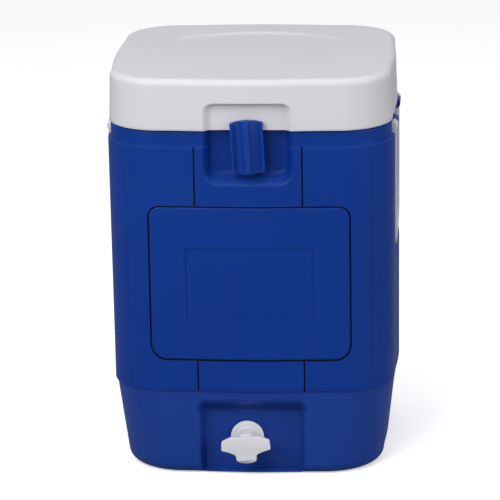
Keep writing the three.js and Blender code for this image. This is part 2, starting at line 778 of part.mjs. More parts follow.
function bodyFoam() {
  const low = inset(shellBottomSection, WALL + GAP + WALL + GAP);
  const block = loft([
    [WALL + GAP, inset(baseBottomSection, BASE_FILLET + GAP)],
    [BASE_FILLET, inset(baseBottomSection, WALL + GAP)],
    [BASE_LINE_Z - 2 * WALL, inset(baseTopSection, WALL + GAP)],
    [BASE_LINE_Z - WALL, low],
    [SPIGOT_Z + GAP, low],
    [SPIGOT_Z + GAP, inset(shellBottomSection, WALL + GAP)],
    [LEDGE_Z - WALL - GAP, inset(ledgeSection, WALL + GAP)],
    [LEDGE_Z - WALL - GAP, inset(ledgeSection, NECK_INSET + WALL + GAP)],
    [FLANGE_Z - GAP, inset(ledgeSection, NECK_INSET + WALL + GAP)],
  ]);
  return cut(
    block,
    linerSolid(-GAP),
    ...bodyPockets(POCKET_GROW),
    tapPocket(POCKET_GROW),
    latchPostRoom(0),
    ...pegs(2 * GAP),
    ...screwHoles(bodyScrewZ, 2 * GAP),
    tapShankHole(2 * GAP),
  );
}

function frontPanel() {
  const prism = solidOf(plateXZ(panelShape(0), 0, -FAR));
  const label = cut(
    box([-LABEL_HALF_WIDTH, LABEL_HALF_WIDTH], [-FAR, 0], [LABEL_BOTTOM_Z, LABEL_TOP_Z]),
    shellCore(LABEL_DEPTH),
  );
  const plate = cut(prism.intersect(shellCore(0)), shellCore(PANEL_THICKNESS));
  const studs = pegs(0).map((peg) => peg.intersect(shellCore(PANEL_THICKNESS / 2)));
  return cut(join(plate, ...studs), label);
}

// ---------------------------------------------------------------- latch

function latch() {
  const half = LATCH_WIDTH / 2;
  const rib = LATCH_RIB_WIDTH / 2;
  const scoopEnd = -LATCH_SCOOP_DEPTH - LATCH_SCOOP_RISE;
  const profile = new THREE.Shape();
  profile.moveTo(-half, 0);
  profile.lineTo(half, 0);
  profile.lineTo(half, -LATCH_RIM_DEPTH);
  profile.lineTo(half - LATCH_RIM_WIDTH, -LATCH_RIM_DEPTH);
  profile.quadraticCurveTo(half / 2, LATCH_SCOOP_RISE - LATCH_SCOOP_DEPTH, rib, scoopEnd);
  profile.lineTo(rib, LATCH_RIB_CHAMFER - LATCH_RIB_DEPTH);
  profile.lineTo(rib - LATCH_RIB_CHAMFER, -LATCH_RIB_DEPTH);
  profile.lineTo(LATCH_RIB_CHAMFER - rib, -LATCH_RIB_DEPTH);
  profile.lineTo(-rib, LATCH_RIB_CHAMFER - LATCH_RIB_DEPTH);
  profile.lineTo(-rib, scoopEnd);
  profile.quadraticCurveTo(
    -half / 2, LATCH_SCOOP_RISE - LATCH_SCOOP_DEPTH, LATCH_RIM_WIDTH - half, -LATCH_RIM_DEPTH,
  );
  profile.lineTo(-half, -LATCH_RIM_DEPTH);
  const bar = new THREE.ExtrudeGeometry(profile, {
    depth: LATCH_LENGTH,
    bevelEnabled: false,
    curveSegments: 5,
  }).translate(0, LATCH_BACK_Y, -LATCH_LENGTH / 2);
  const shoulder = LATCH_LENGTH / 2 - LATCH_END_ARC;
  const ends = new THREE.Shape();
  const side = half + OVERCUT;
  ends.moveTo(-side, -shoulder);
  ends.quadraticCurveTo(0, -shoulder - 2 * LATCH_END_ARC, side, -shoulder);
  ends.lineTo(side, shoulder);
  ends.quadraticCurveTo(0, shoulder + 2 * LATCH_END_ARC, -side, shoulder);
  const trimmed = solidOf(bar).intersect(solidOf(plateXZ(ends, 0, -FAR, 5)));
  const socket = rodAlongY(
    LATCH_POST_RADIUS + GAP, LATCH_BACK_Y + OVERCUT, LATCH_BACK_Y - LATCH_RIM_DEPTH, 0, 0,
    SMALL_ROUND_STEPS,
  );
  return cut(trimmed, socket);
}

// The post that the latch turns on. Its head sits behind the wall of the recess.
function latchPost() {
  const headY = LATCH_FLOOR_Y + WALL + GAP;
  const tipY = LATCH_BACK_Y - LATCH_RIM_DEPTH + GAP;
  return turnedFront(
    [
      [LATCH_POST_RADIUS + LATCH_POST_HEAD, -headY - WALL],
      [LATCH_POST_RADIUS + LATCH_POST_HEAD, -headY],
      [LATCH_POST_RADIUS, -headY],
      [LATCH_POST_RADIUS, -tipY],
    ],
    0,
    LATCH_PIVOT_Z,
    SMALL_ROUND_STEPS,
  );
}

// ---------------------------------------------------------------- lid

const lidSkirt = [
  [LID_BOTTOM_Z, inset(lidBottomSection, LID_LIP)],
  [LID_BOTTOM_Z + LID_LIP / 3, inset(lidBottomSection, LID_LIP / 3)],
  [LID_BOTTOM_Z + LID_LIP, lidBottomSection],
];

function lidOutside() {
  const fillet = quarterRound(LID_FILLET, FILLET_STEPS).map(([drop, setback]) => [
    TOP_Z - drop,
    inset(lidTopSection, setback),
  ]);
  return loft([...lidSkirt, ...fillet.reverse()]);
}

const lidInside = (bottom, extra) =>
  loft([
    [bottom, inset(lidBottomSection, WALL + extra)],
    [TOP_Z - LID_FILLET, inset(lidTopSection, WALL + extra)],
    [TOP_Z - LID_FILLET / 2 - extra, inset(lidTopSection, 2 * WALL + extra)],
    [TOP_Z - WALL - extra, inset(lidTopSection, 4 * WALL + extra)],
  ]);

// The shallow dish in the top of the lid: deepest at its bowed rear edge, nothing at the front.
function lidDish() {
  const shape = new THREE.Shape();
  shape.moveTo(-DISH_HALF_WIDTH, DISH_FRONT_Y);
  shape.lineTo(DISH_HALF_WIDTH, DISH_FRONT_Y);
  shape.lineTo(DISH_HALF_WIDTH, DISH_SIDE_Y);
  shape.quadraticCurveTo(0, 2 * DISH_REAR_Y - DISH_SIDE_Y, -DISH_HALF_WIDTH, DISH_SIDE_Y);
  const block = new THREE.ExtrudeGeometry(shape, {
    depth: FAR,
    bevelEnabled: false,
    curveSegments: 8,
  });
  const slope = Math.atan(DISH_DEPTH / (DISH_REAR_Y - DISH_FRONT_Y));
  block.translate(0, -DISH_FRONT_Y, 0).rotateX(-slope).translate(0, DISH_FRONT_Y, TOP_Z);
  return solidOf(block);
}

const lidShell = () =>
  cut(
    lidOutside(),
    lidPocket(0),
    cut(lidInside(LID_BOTTOM_Z - OVERCUT, 0), lidPocket(WALL)),
    lidDish(),
    ...screwHoles(lidScrewZ, GAP),
  );

// The step under the lid that drops into the liner's mouth, inside its outer surface by depth.
function plugSolid(depth, top) {
  const low = RIM_Z - PLUG_DEPTH + depth;
  const clear = LINER_WALL + PLUG_CLEARANCE + depth;
  const side = inset(linerTopSection, clear);
  return cut(
    loft([
      [low, inset(side, PLUG_CHAMFER)],
      [low + PLUG_CHAMFER / 2, side],
      [top, side],
    ]),
    latchPocket(POCKET_GROW + clear),
    latchPostRoom(clear),
  );
}

const lidPlateZ = LID_BOTTOM_Z + LID_PLATE_SETBACK;

function lidLiner() {
  const plate = cut(
    loft([
      [lidPlateZ, inset(lidBottomSection, WALL + GAP)],
      [lidPlateZ + LID_PLATE, inset(lidBottomSection, WALL + GAP)],
    ]),
    lidPocket(POCKET_GROW),
  );
  const tray = plugSolid(0, lidPlateZ + LID_PLATE / 2);
  return cut(join(plate, tray), plugSolid(LINER_WALL, lidPlateZ + LID_PLATE + OVERCUT));
}

function lidFoam() {
  const bottom = lidPlateZ + LID_PLATE + GAP;
  return cut(
    join(lidInside(bottom, GAP), plugSolid(LINER_WALL + GAP, bottom + OVERCUT)),
    lidPocket(POCKET_GROW),
    ...screwHoles(lidScrewZ, 2 * GAP),
  );
}

function lidGasket() {
  const ring = (distance, spare) =>
    loft([
      [RIM_Z + GAP - spare, inset(linerTopSection, distance)],
      [lidPlateZ - GAP + spare, inset(linerTopSection, distance)],
    ]);
  const seal = ring(-LID_GASKET_SETBACK - LID_GASKET_WIDTH, 0);
  return cut(seal, ring(-LID_GASKET_SETBACK, OVERCUT), latchPocket(POCKET_GROW));
}

// ---------------------------------------------------------------- hinges

function hingeLeaf(x, forLid) {
  const half = HINGE_WIDTH / 2;
  const middle = HINGE_KNUCKLE_WIDTH / 2;
  const clear = HINGE_KNUCKLE_RADIUS + HINGE_LEAF_GAP;
  const outerY = REAR_Y + HINGE_LEAF_THICKNESS;
  const zs = forLid
    ? [HINGE_Z + clear, HINGE_Z + HINGE_LID_LEAF_HEIGHT]
    : [HINGE_Z - HINGE_LEAF_HEIGHT, HINGE_Z - clear - HINGE_LEAF_GAP];
  const plate = box([x - half, x + half], [0, outerY], zs);
  const spans = forLid
    ? [[x - middle, x + middle]]
    : [[x - half, x - middle - HINGE_KNUCKLE_GAP], [x + middle + HINGE_KNUCKLE_GAP, x + half]];
  const webZ = forLid ? [HINGE_Z, zs[0] + HINGE_WEB_OVERLAP] : [zs[1] - HINGE_WEB_OVERLAP, HINGE_Z];
  const knuckles = spans.flatMap(([x0, x1]) => [
    rodAlongX(HINGE_KNUCKLE_RADIUS, x0, x1, HINGE_Y, HINGE_Z),
    box([x0, x1], [HINGE_Y - HINGE_KNUCKLE_RADIUS, HINGE_Y], webZ),
  ]);
  const pinHole = rodAlongX(
    HINGE_PIN_RADIUS + GAP, x - half - OVERCUT, x + half + OVERCUT, HINGE_Y, HINGE_Z,
    SMALL_ROUND_STEPS,
  );
  const seat = forLid ? lidSeat() : shellOutside(GAP);
  return cut(
    join(plate, ...knuckles),
    seat,
    pinHole,
    ...screwHoles(forLid ? lidScrewZ : bodyScrewZ, GAP),
  );
}

const lidSeat = () =>
  loft([
    [LID_BOTTOM_Z - OVERCUT, inset(lidBottomSection, -GAP)],
    [LID_BOTTOM_Z + LID_LIP, inset(lidBottomSection, -GAP)],
    [TOP_Z - LID_FILLET, inset(lidTopSection, -GAP)],
  ]);

const hingePin = (x) =>
  rodAlongX(
    HINGE_PIN_RADIUS, x - HINGE_WIDTH / 2, x + HINGE_WIDTH / 2, HINGE_Y, HINGE_Z,
    SMALL_ROUND_STEPS,
  );

function hingeScrew(x, z) {
  const seatY = screwFaceY + GAP;
  return solidOf(
    turned(
      [
        [HINGE_SCREW_RADIUS / 2, -HINGE_SCREW_LENGTH],
        [HINGE_SCREW_RADIUS, HINGE_SCREW_POINT - HINGE_SCREW_LENGTH],
        [HINGE_SCREW_RADIUS, 0],
        [HINGE_SCREW_HEAD, 0],
        [HINGE_SCREW_HEAD, HINGE_SCREW_HEAD_RIM],
        [HINGE_SCREW_HEAD / 2, HINGE_SCREW_HEAD_RISE],
      ],
      SMALL_ROUND_STEPS,
    )
      .rotateX(-Math.PI / 2)
      .translate(x, seatY, z),
  );
}

// ---------------------------------------------------------------- carrying handles

function sideHandle(side) {
  const top = HANDLE_PIVOT_Z + HANDLE_EYE_RADIUS + OVERCUT;
  const bottom = HANDLE_PIVOT_Z - HANDLE_LENGTH;
  const bail = new THREE.Shape();
  const corner = HANDLE_CORNER_RADIUS;
  const inner = HANDLE_HALF_WIDTH - HANDLE_ARM_WIDTH;
  const gripTop = bottom + HANDLE_GRIP_HEIGHT;
  bail.moveTo(-HANDLE_HALF_WIDTH, top);
  bail.lineTo(-HANDLE_HALF_WIDTH, bottom + corner);
  bail.absarc(corner - HANDLE_HALF_WIDTH, bottom + corner, corner, Math.PI, Math.PI * 1.5);
  bail.absarc(HANDLE_HALF_WIDTH - corner, bottom + corner, corner, -Math.PI / 2, 0);
  bail.lineTo(HANDLE_HALF_WIDTH, top);
  bail.lineTo(inner, top);
  bail.lineTo(inner, gripTop + corner / 2);
  bail.lineTo(inner - corner / 2, gripTop);
  bail.lineTo(corner / 2 - inner, gripTop);
  bail.lineTo(-inner, gripTop + corner / 2);
  bail.lineTo(-inner, top);
  const frontView = new THREE.ExtrudeGeometry(bail, {
    depth: FAR,
    bevelEnabled: false,
    curveSegments: 5,
  }).applyMatrix4(TO_RIGHT);

  const face = HANDLE_PIVOT_X + HANDLE_THICKNESS / 2;
  const back = face - HANDLE_THICKNESS;
  const sideView = new THREE.Shape();
  sideView.moveTo(back - HANDLE_LEAN, bottom + HANDLE_CHAMFER);
  sideView.lineTo(back - HANDLE_LEAN + HANDLE_CHAMFER, bottom);
  sideView.lineTo(face - HANDLE_LEAN - HANDLE_CHAMFER, bottom);
  sideView.lineTo(face - HANDLE_LEAN, bottom + HANDLE_CHAMFER);
  sideView.lineTo(face, HANDLE_PIVOT_Z);
  sideView.lineTo(back, HANDLE_PIVOT_Z);
  const arm = solidOf(plateXZ(sideView, FAR, -FAR));
  const eye = rodAlongY(HANDLE_EYE_RADIUS, -FAR, FAR, HANDLE_PIVOT_X, HANDLE_PIVOT_Z);
  const bore = rodAlongY(
    HANDLE_PIN_RADIUS + GAP, -FAR, FAR, HANDLE_PIVOT_X, HANDLE_PIVOT_Z, SMALL_ROUND_STEPS,
  );
  const right = cut(join(arm, eye).intersect(solidOf(frontView)), bore);
  return side > 0 ? right : solidOf(geometryOf(right).rotateZ(Math.PI));
}

function handlePin(side, end) {
  const inner = HANDLE_HALF_WIDTH - HANDLE_ARM_WIDTH - HANDLE_BOSS_LENGTH;
  const tip = inner + HANDLE_PIN_SETBACK + GAP;
  const seat = HANDLE_HALF_WIDTH + GAP;
  const pin = turned(
    [
      [HANDLE_PIN_RADIUS, tip],
      [HANDLE_PIN_RADIUS, seat],
      [HANDLE_PIN_RADIUS + HANDLE_PIN_HEAD, seat],
      [HANDLE_PIN_RADIUS + HANDLE_PIN_HEAD, seat + HANDLE_PIN_HEAD_THICKNESS / 2],
      [HANDLE_PIN_RADIUS + HANDLE_PIN_HEAD / 2, seat + HANDLE_PIN_HEAD_THICKNESS],
    ],
    SMALL_ROUND_STEPS,
  );
  pin.rotateX(end < 0 ? Math.PI / 2 : -Math.PI / 2);
  return solidOf(pin.translate(side * HANDLE_PIVOT_X, 0, HANDLE_PIVOT_Z));
}

// ---------------------------------------------------------------- tap

function tapBody() {
  const outside = turnedFront(
    [
      [TAP_SHANK_RADIUS, -shankEndY],
      [TAP_SHANK_RADIUS, -tapFlangeY],
      [TAP_FLANGE_RADIUS, -tapFlangeY],
      [TAP_FLANGE_RADIUS, -tapBarrelY - TAP_CHAMFER],
      [TAP_FLANGE_RADIUS - TAP_CHAMFER, -tapBarrelY],
      [TAP_BARREL_RADIUS, -tapBarrelY],
      [TAP_BARREL_RADIUS, -tapFrontY - TAP_CHAMFER],
      [TAP_BARREL_RADIUS - TAP_CHAMFER, -tapFrontY],
    ],
    TAP_X,
    TAP_Z,
  );
  const spout = rodAlongZ(TAP_SPOUT_RADIUS, tapSpoutZ, TAP_Z, TAP_X, tapSpoutY);
  const spoutBore = rodAlongZ(TAP_SPOUT_BORE, tapSpoutZ - OVERCUT, TAP_Z, TAP_X, tapSpoutY);
  const plugBore = rodAlongY(
    TAP_PLUG_RADIUS + GAP, plugBackY + GAP, tapFrontY - OVERCUT, TAP_X, TAP_Z,
  );
  const inlet = rodAlongY(
    TAP_SHANK_BORE, shankEndY + OVERCUT, plugBackY - OVERCUT, TAP_X, TAP_Z, SMALL_ROUND_STEPS,
  );
  return cut(join(outside, spout), spoutBore, plugBore, inlet);
}

// The turning plug of the valve. Its side port faces +X when the tap is shut.
function tapPlug() {
  const blank = turnedFront(
    [
      [TAP_PLUG_RADIUS, -plugBackY],
      [TAP_PLUG_RADIUS, -oRingY - TAP_O_RING_HALF - GAP],
      [TAP_PLUG_RADIUS - TAP_O_RING_GROOVE, -oRingY - TAP_O_RING_HALF - GAP],
      [TAP_PLUG_RADIUS - TAP_O_RING_GROOVE, -oRingY + TAP_O_RING_HALF + GAP],
      [TAP_PLUG_RADIUS, -oRingY + TAP_O_RING_HALF + GAP],
      [TAP_PLUG_RADIUS, -tapFrontY],
      [TAP_PORT_RADIUS, -tapFrontY],
      [TAP_PORT_RADIUS, -tapFrontY + TAP_STUB_LENGTH],
    ],
    TAP_X,
    TAP_Z,
  );
  const hollow = rodAlongY(
    TAP_SHANK_BORE, plugBackY + OVERCUT, tapSpoutY - TAP_PORT_RADIUS - OVERCUT, TAP_X, TAP_Z,
    SMALL_ROUND_STEPS,
  );
  const port = rodAlongX(
    TAP_PORT_RADIUS, TAP_X, TAP_X + 2 * TAP_PLUG_RADIUS, tapSpoutY, TAP_Z, SMALL_ROUND_STEPS,
  );
  return cut(blank, hollow, port);
}

function ring(outer, inner, y0, y1, steps = ROUND_STEPS) {
  const body = rodAlongY(outer, y0, y1, TAP_X, TAP_Z, steps);
  return cut(body, rodAlongY(inner, y0 + OVERCUT, y1 - OVERCUT, TAP_X, TAP_Z, steps));
}

const tapWasher = () =>
  ring(
    TAP_WASHER_RADIUS, TAP_SHANK_RADIUS + GAP, tapWasherY + TAP_WASHER_THICKNESS,
    tapWasherY - OVERCUT,
  ).intersect(linerSolid(LINER_WALL + GAP));

function tapNut() {
  const hex = rodAlongY(TAP_NUT_RADIUS, tapNutY, tapNutY + TAP_NUT_THICKNESS, TAP_X, TAP_Z, 6);
  return cut(hex, tapShankHole(GAP));
}

// The tap's T-shaped handle: two finger wings and a short stem that hangs in front of the spout.
function tapHandle() {
  const half = TAP_HANDLE_SPAN / 2;
  const end = TAP_HANDLE_END / 2;
  const stem = TAP_HANDLE_STEM_WIDTH / 2;
  const root = stem + TAP_HANDLE_ROOT;
  const crown = TAP_HANDLE_CROWN_WIDTH / 2;
  const middle = (half + root) / 2;
  const shape = new THREE.Shape();
  shape.moveTo(-stem, -TAP_HANDLE_STEM_DROP);
  shape.lineTo(stem, -TAP_HANDLE_STEM_DROP);
  shape.lineTo(root, -stem);
  shape.quadraticCurveTo(middle, -end - TAP_HANDLE_SWEEP, half, -end);
  shape.lineTo(half - TAP_HANDLE_ROOT, end);
  shape.lineTo(crown, TAP_HANDLE_TOP);
  shape.lineTo(-crown, TAP_HANDLE_TOP);
  shape.lineTo(TAP_HANDLE_ROOT - half, end);
  shape.lineTo(-half, -end);
  shape.quadraticCurveTo(-middle, -end - TAP_HANDLE_SWEEP, -root, -stem);
  const face = tapFrontY - GAP;
  const plate = solidOf(plateXZ(shape, face, face - TAP_HANDLE_THICKNESS, 4));
  const socketEnd = tapFrontY - TAP_STUB_LENGTH - GAP;
  const socket = rodAlongY(
    TAP_PORT_RADIUS + GAP, face + OVERCUT, socketEnd, 0, 0, SMALL_ROUND_STEPS,
  );
  return cut(plate, socket);
}

// ---------------------------------------------------------------- assembly

const dispenser = new THREE.Group();

function add(name, solid, material, { x = 0, y = 0, z = 0, tilt = 0 } = {}) {
  const mesh = new THREE.Mesh(geometryOf(solid), material);
  mesh.name = name;
  mesh.position.set(x, y, z);
  mesh.rotation.y = THREE.MathUtils.degToRad(tilt);
  dispenser.add(mesh);
}

add("base_moulding", baseMoulding(), BLUE);
add("outer_shell", outerShell(), BLUE);
add("body_foam", bodyFoam(), FOAM_CREAM);
add("inner_liner", innerLiner(), LINER);
add("front_panel", frontPanel(), BLUE);
add("latch", latch(), BLUE, { z: LATCH_PIVOT_Z, tilt: LATCH_TILT });
add("latch_post", latchPost(), STEEL);

add("lid_shell", lidShell(), WHITE);
add("lid_liner", lidLiner(), LINER);
add("lid_foam", lidFoam(), FOAM_CREAM);
add("lid_gasket", lidGasket(), RUBBER);

for (const [side, x] of [["left", -HINGE_X], ["right", HINGE_X]]) {
  add(`hinge_body_leaf_${side}`, hingeLeaf(x, false), WHITE);
  add(`hinge_lid_leaf_${side}`, hingeLeaf(x, true), WHITE);
  add(`hinge_pin_${side}`, hingePin(x), STEEL);
  for (const [end, dx] of [["a", screwSides[0]], ["b", screwSides[1]]]) {
    add(`body_leaf_screw_${side}_${end}`, hingeScrew(x + dx, bodyScrewZ), STEEL);
    add(`lid_leaf_screw_${side}_${end}`, hingeScrew(x + dx, lidScrewZ), STEEL);
  }
}

for (const [name, side] of [["left", -1], ["right", 1]]) {
  add(`handle_${name}`, sideHandle(side), WHITE);
  add(`handle_pin_${name}_front`, handlePin(side, -1), WHITE);
  add(`handle_pin_${name}_rear`, handlePin(side, 1), WHITE);
}

add("tap_body", tapBody(), TAP_WHITE);
add("tap_plug", tapPlug(), TAP_WHITE);
add(
  "tap_o_ring",
  ring(
    TAP_PLUG_RADIUS, TAP_PLUG_RADIUS - TAP_O_RING_GROOVE + GAP, oRingY + TAP_O_RING_HALF,
    oRingY - TAP_O_RING_HALF,
  ),
  RUBBER,
);
add("tap_handle", tapHandle(), TAP_WHITE, { x: TAP_X, z: TAP_Z, tilt: TAP_HANDLE_TILT });
add(
  "tap_gasket",
  ring(
    TAP_FLANGE_RADIUS - TAP_GASKET_SETBACK, TAP_SHANK_RADIUS + GAP, tapGasketY,
    tapGasketY - TAP_GASKET_THICKNESS,
  ),
  RUBBER,
);
add("tap_washer", tapWasher(), RUBBER);
add("tap_nut", tapNut(), TAP_WHITE);

export default dispenser;
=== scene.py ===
"""Looks of an insulated drink dispenser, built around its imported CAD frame.

Every length is in metres, +Z is up and the front faces -Y. Each sub-assembly is a class that holds
its own sizes, models its pieces with Blender's mesh operators and hands them to the frame.
"""

import logging
import math
from dataclasses import dataclass, replace
from enum import Enum
from typing import Callable, Mapping, Sequence

import bpy
from mathutils import Matrix, Vector

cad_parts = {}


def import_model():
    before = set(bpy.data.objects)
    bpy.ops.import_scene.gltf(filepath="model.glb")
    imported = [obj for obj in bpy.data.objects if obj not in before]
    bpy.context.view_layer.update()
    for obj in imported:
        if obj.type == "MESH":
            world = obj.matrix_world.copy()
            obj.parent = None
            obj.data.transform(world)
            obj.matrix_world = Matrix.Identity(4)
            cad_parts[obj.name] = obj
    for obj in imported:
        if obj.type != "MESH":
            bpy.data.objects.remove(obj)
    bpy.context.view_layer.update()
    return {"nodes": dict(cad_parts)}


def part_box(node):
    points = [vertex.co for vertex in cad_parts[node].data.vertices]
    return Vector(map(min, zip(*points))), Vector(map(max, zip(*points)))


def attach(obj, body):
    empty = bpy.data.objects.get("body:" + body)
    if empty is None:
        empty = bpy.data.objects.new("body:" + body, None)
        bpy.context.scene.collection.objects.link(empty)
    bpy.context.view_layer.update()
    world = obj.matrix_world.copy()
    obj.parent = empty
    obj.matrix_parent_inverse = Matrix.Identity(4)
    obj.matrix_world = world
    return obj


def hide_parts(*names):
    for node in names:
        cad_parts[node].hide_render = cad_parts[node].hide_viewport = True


LOG = logging.getLogger("dispenser")
MERGE_DISTANCE = 1e-6
SMOOTH_ANGLE = math.radians(32)
SMALLEST_CORNER = 0.002
CAD_GAP = 0.0003
Colour = tuple[float, float, float]
Point = tuple[float, float]


# ------------------------------------------------------------------ shader writing


class Value:
    """A number that varies over a surface, with arithmetic that adds Math nodes."""

    def __init__(self, shader: "Shader", socket: bpy.types.NodeSocket) -> None:
        """Wraps an output socket.

        Args:
            shader: The shader that owns the socket.
            socket: The output socket that gives the number.
        """
        self.shader = shader
        self.socket = socket

    def _math(self, operation: str, left: object, right: object) -> "Value":
        """Adds one Math node and returns its output."""
        return self.shader.math(operation, left, right)

    def __add__(self, other: object) -> "Value":
        """Returns self + other."""
        return self._math("ADD", self, other)

    __radd__ = __add__

    def __sub__(self, other: object) -> "Value":
        """Returns self - other."""
        return self._math("SUBTRACT", self, other)

    def __rsub__(self, other: object) -> "Value":
        """Returns other - self."""
        return self._math("SUBTRACT", other, self)

    def __mul__(self, other: object) -> "Value":
        """Returns self * other."""
        return self._math("MULTIPLY", self, other)

    __rmul__ = __mul__


class Shader:
    """Writes one material's nodes."""

    def __init__(self, name: str) -> None:
        """Starts an empty node material.

        Args:
            name: The material's name.
        """
        self.material = bpy.data.materials.new(name)
        self.material.use_nodes = True
        self.nodes = self.material.node_tree.nodes
        self.links = self.material.node_tree.links
        self.nodes.clear()

    def node(
        self,
        kind: str,
        settings: Mapping[str, object] | None = None,
        inputs: Mapping[str | int, object] | None = None,
    ) -> bpy.types.Node:
        """Adds a node.

        Args:
            kind: The node's type.
            settings: Properties of the node, set before its sockets.
            inputs: Values or links, by socket name or number.

        Returns:
            The new node.
        """
        made = self.nodes.new(kind)
        for key, value in (settings or {}).items():
            if key == "stops":
                self._stops(made, value)
            else:
                setattr(made, key, value)
        for key, value in (inputs or {}).items():
            self._feed(made.inputs[key], value)
        return made

    @staticmethod
    def _stops(ramp: bpy.types.Node, stops: Sequence[tuple[float, float]]) -> None:
        """Sets a colour ramp's stops, given as (place, grey level) pairs."""
        elements = ramp.color_ramp.elements
        while len(elements) < len(stops):
            elements.new(0.5)
        for element, (place, level) in zip(elements, stops):
            element.position = place
            element.color = (level, level, level, 1)

    def _feed(self, socket: bpy.types.NodeSocket, value: object) -> None:
        """Links or sets one input socket."""
        if isinstance(value, Value):
            self.links.new(value.socket, socket)
        elif isinstance(value, bpy.types.NodeSocket):
            self.links.new(value, socket)
        elif isinstance(value, tuple) and len(value) == 3 and socket.type == "RGBA":
            socket.default_value = (*value, 1)
        else:
            socket.default_value = value

    def math(self, operation: str, left: object, right: object) -> Value:
        """Adds a Math node.

        Args:
            operation: The node's operation.
            left: Its first number or value.
            right: Its second number or value.

        Returns:
            The result.
        """
        made = self.node("ShaderNodeMath", {"operation": operation}, {0: left, 1: right})
        return Value(self, made.outputs[0])

    def place(self, stretch: tuple[float, float, float] = (1, 1, 1)) -> bpy.types.NodeSocket:
        """Returns the object coordinates, stretched along each axis."""
        coords = self.node("ShaderNodeTexCoord").outputs["Object"]
        if stretch == (1, 1, 1):
            return coords
        mapping = self.node("ShaderNodeMapping", None, {"Vector": coords, "Scale": stretch})
        return mapping.outputs["Vector"]

    def noise(
        self,
        scale: float,
        detail: float = 2.0,
        stretch: tuple[float, float, float] = (1, 1, 1),
    ) -> Value:
        """Returns a noise pattern.

        Args:
            scale: Features per metre.
            detail: Octaves of finer noise.
            stretch: Scale of the coordinates along each axis.

        Returns:
            The noise, about 0.5 on average.
        """
        inputs = {"Vector": self.place(stretch), "Scale": scale, "Detail": detail}
        made = self.node("ShaderNodeTexNoise", None, inputs)
        return Value(self, made.outputs[0])

    def pebbles(self, scale: float) -> Value:
        """Returns the distance pattern of a cell texture with that many cells per metre."""
        inputs = {"Vector": self.place(), "Scale": scale}
        made = self.node("ShaderNodeTexVoronoi", {"feature": "SMOOTH_F1"}, inputs)
        return Value(self, made.outputs["Distance"])

    def step(self, value: Value, low: float, high: float) -> Value:
        """Returns value ramped from 0 at low to 1 at high."""
        ramp = self.node("ShaderNodeValToRGB", {"stops": [(low, 0.0), (high, 1.0)]}, {0: value})
        return Value(self, ramp.outputs[0])

    def mix(self, factor: Value, first: object, second: object) -> bpy.types.NodeSocket:
        """Returns the colour between first and second."""
        made = self.node("ShaderNodeMix", {"data_type": "RGBA"}, {0: factor, 6: first, 7: second})
        return made.outputs[2]

    def upward(self) -> Value:
        """Returns how far a surface faces up, from -1 to 1."""
        normal = self.node("ShaderNodeNewGeometry").outputs["Normal"]
        parts = self.node("ShaderNodeSeparateXYZ", None, {0: normal})
        return Value(self, parts.outputs["Z"])

    def bump(self, height: Value, strength: float, distance: float) -> bpy.types.NodeSocket:
        """Returns a normal raised by height.

        Args:
            height: The pattern.
            strength: Share of the full effect.
            distance: Height of the pattern in metres.

        Returns:
            The normal socket.
        """
        inputs = {"Strength": strength, "Distance": distance, "Height": height}
        return self.node("ShaderNodeBump", None, inputs).outputs["Normal"]

    def surface(self, inputs: Mapping[str, object]) -> bpy.types.Material:
        """Ends the material with a Principled shader.

        Args:
            inputs: The shader's socket values.

        Returns:
            The finished material.
        """
        shader = self.node("ShaderNodeBsdfPrincipled", None, inputs)
        self.node("ShaderNodeOutputMaterial", None, {"Surface": shader.outputs[0]})
        return self.material


@dataclass(frozen=True)
class Plastic:
    """A moulded plastic: a body colour with slight drift, a fine moulded grain, faint rubs and, where
    asked, upward faces lightened by dust mixed with painted top light.
    """

    name: str
    colour: Colour
    drift: Colour
    roughness: float
    grain: float = 0.00006
    grain_cells: float = 900.0
    rubs: float = 0.10
    dust_and_top_light: float = 0.0
    dust_and_top_light_colour: Colour = (0.55, 0.56, 0.58)
    specular: float = 0.3

    def build(self) -> bpy.types.Material:
        """Returns the material."""
        shader = Shader(self.name)
        cloud = shader.step(shader.noise(5.0, 3.0), 0.35, 0.68)
        colour = shader.mix(cloud, self.colour, self.drift)
        streaks = shader.noise(26.0, 5.0, (6.0, 6.0, 0.7))
        rubbed = shader.step(streaks, 0.56, 0.74)
        # Upward faces get a mottled paler tint: dust mixed with painted top light.
        if self.dust_and_top_light:
            top_light_dust_mask = shader.step(shader.upward(), 0.35, 0.95) * shader.noise(60.0, 4.0)
            colour = shader.mix(top_light_dust_mask * self.dust_and_top_light, colour, self.dust_and_top_light_colour)
        fine = shader.pebbles(self.grain_cells)
        height = fine + 0.5 * shader.noise(self.grain_cells * 0.5, 3.0)
        roughness = self.roughness - 0.5 * self.rubs + rubbed * self.rubs
        return shader.surface(
            {
                "Base Color": colour,
                "Roughness": roughness + 0.05 * shader.noise(140.0, 3.0),
                "Specular IOR Level": self.specular,
                "Normal": shader.bump(height, 0.5, self.grain),
            }
        )


@dataclass(frozen=True)
class Steel:
    """Turned or rolled steel with fine tool marks."""

    name: str
    colour: Colour = (0.52, 0.53, 0.55)

    def build(self) -> bpy.types.Material:
        """Returns the material."""
        shader = Shader(self.name)
        marks = shader.noise(700.0, 3.0, (0.15, 1.0, 1.0))
        stain = shader.step(shader.noise(90.0, 4.0), 0.45, 0.75)
        return shader.surface(
            {
                "Base Color": shader.mix(stain, self.colour, (0.36, 0.36, 0.38)),
                "Metallic": 1.0,
                "Roughness": marks * 0.25 + 0.2,
                "Normal": shader.bump(marks, 0.3, 0.00003),
            }
        )


@dataclass(frozen=True)
class Foam:
    """Poured insulation: a cream foam of small closed cells."""

    name: str

    def build(self) -> bpy.types.Material:
        """Returns the material."""
        shader = Shader(self.name)
        cells = shader.pebbles(420.0)
        colour = shader.mix(cells, (0.72, 0.62, 0.34), (0.82, 0.74, 0.48))
        return shader.surface(
            {"Base Color": colour, "Roughness": 0.95, "Normal": shader.bump(cells, 0.8, 0.0008)}
        )


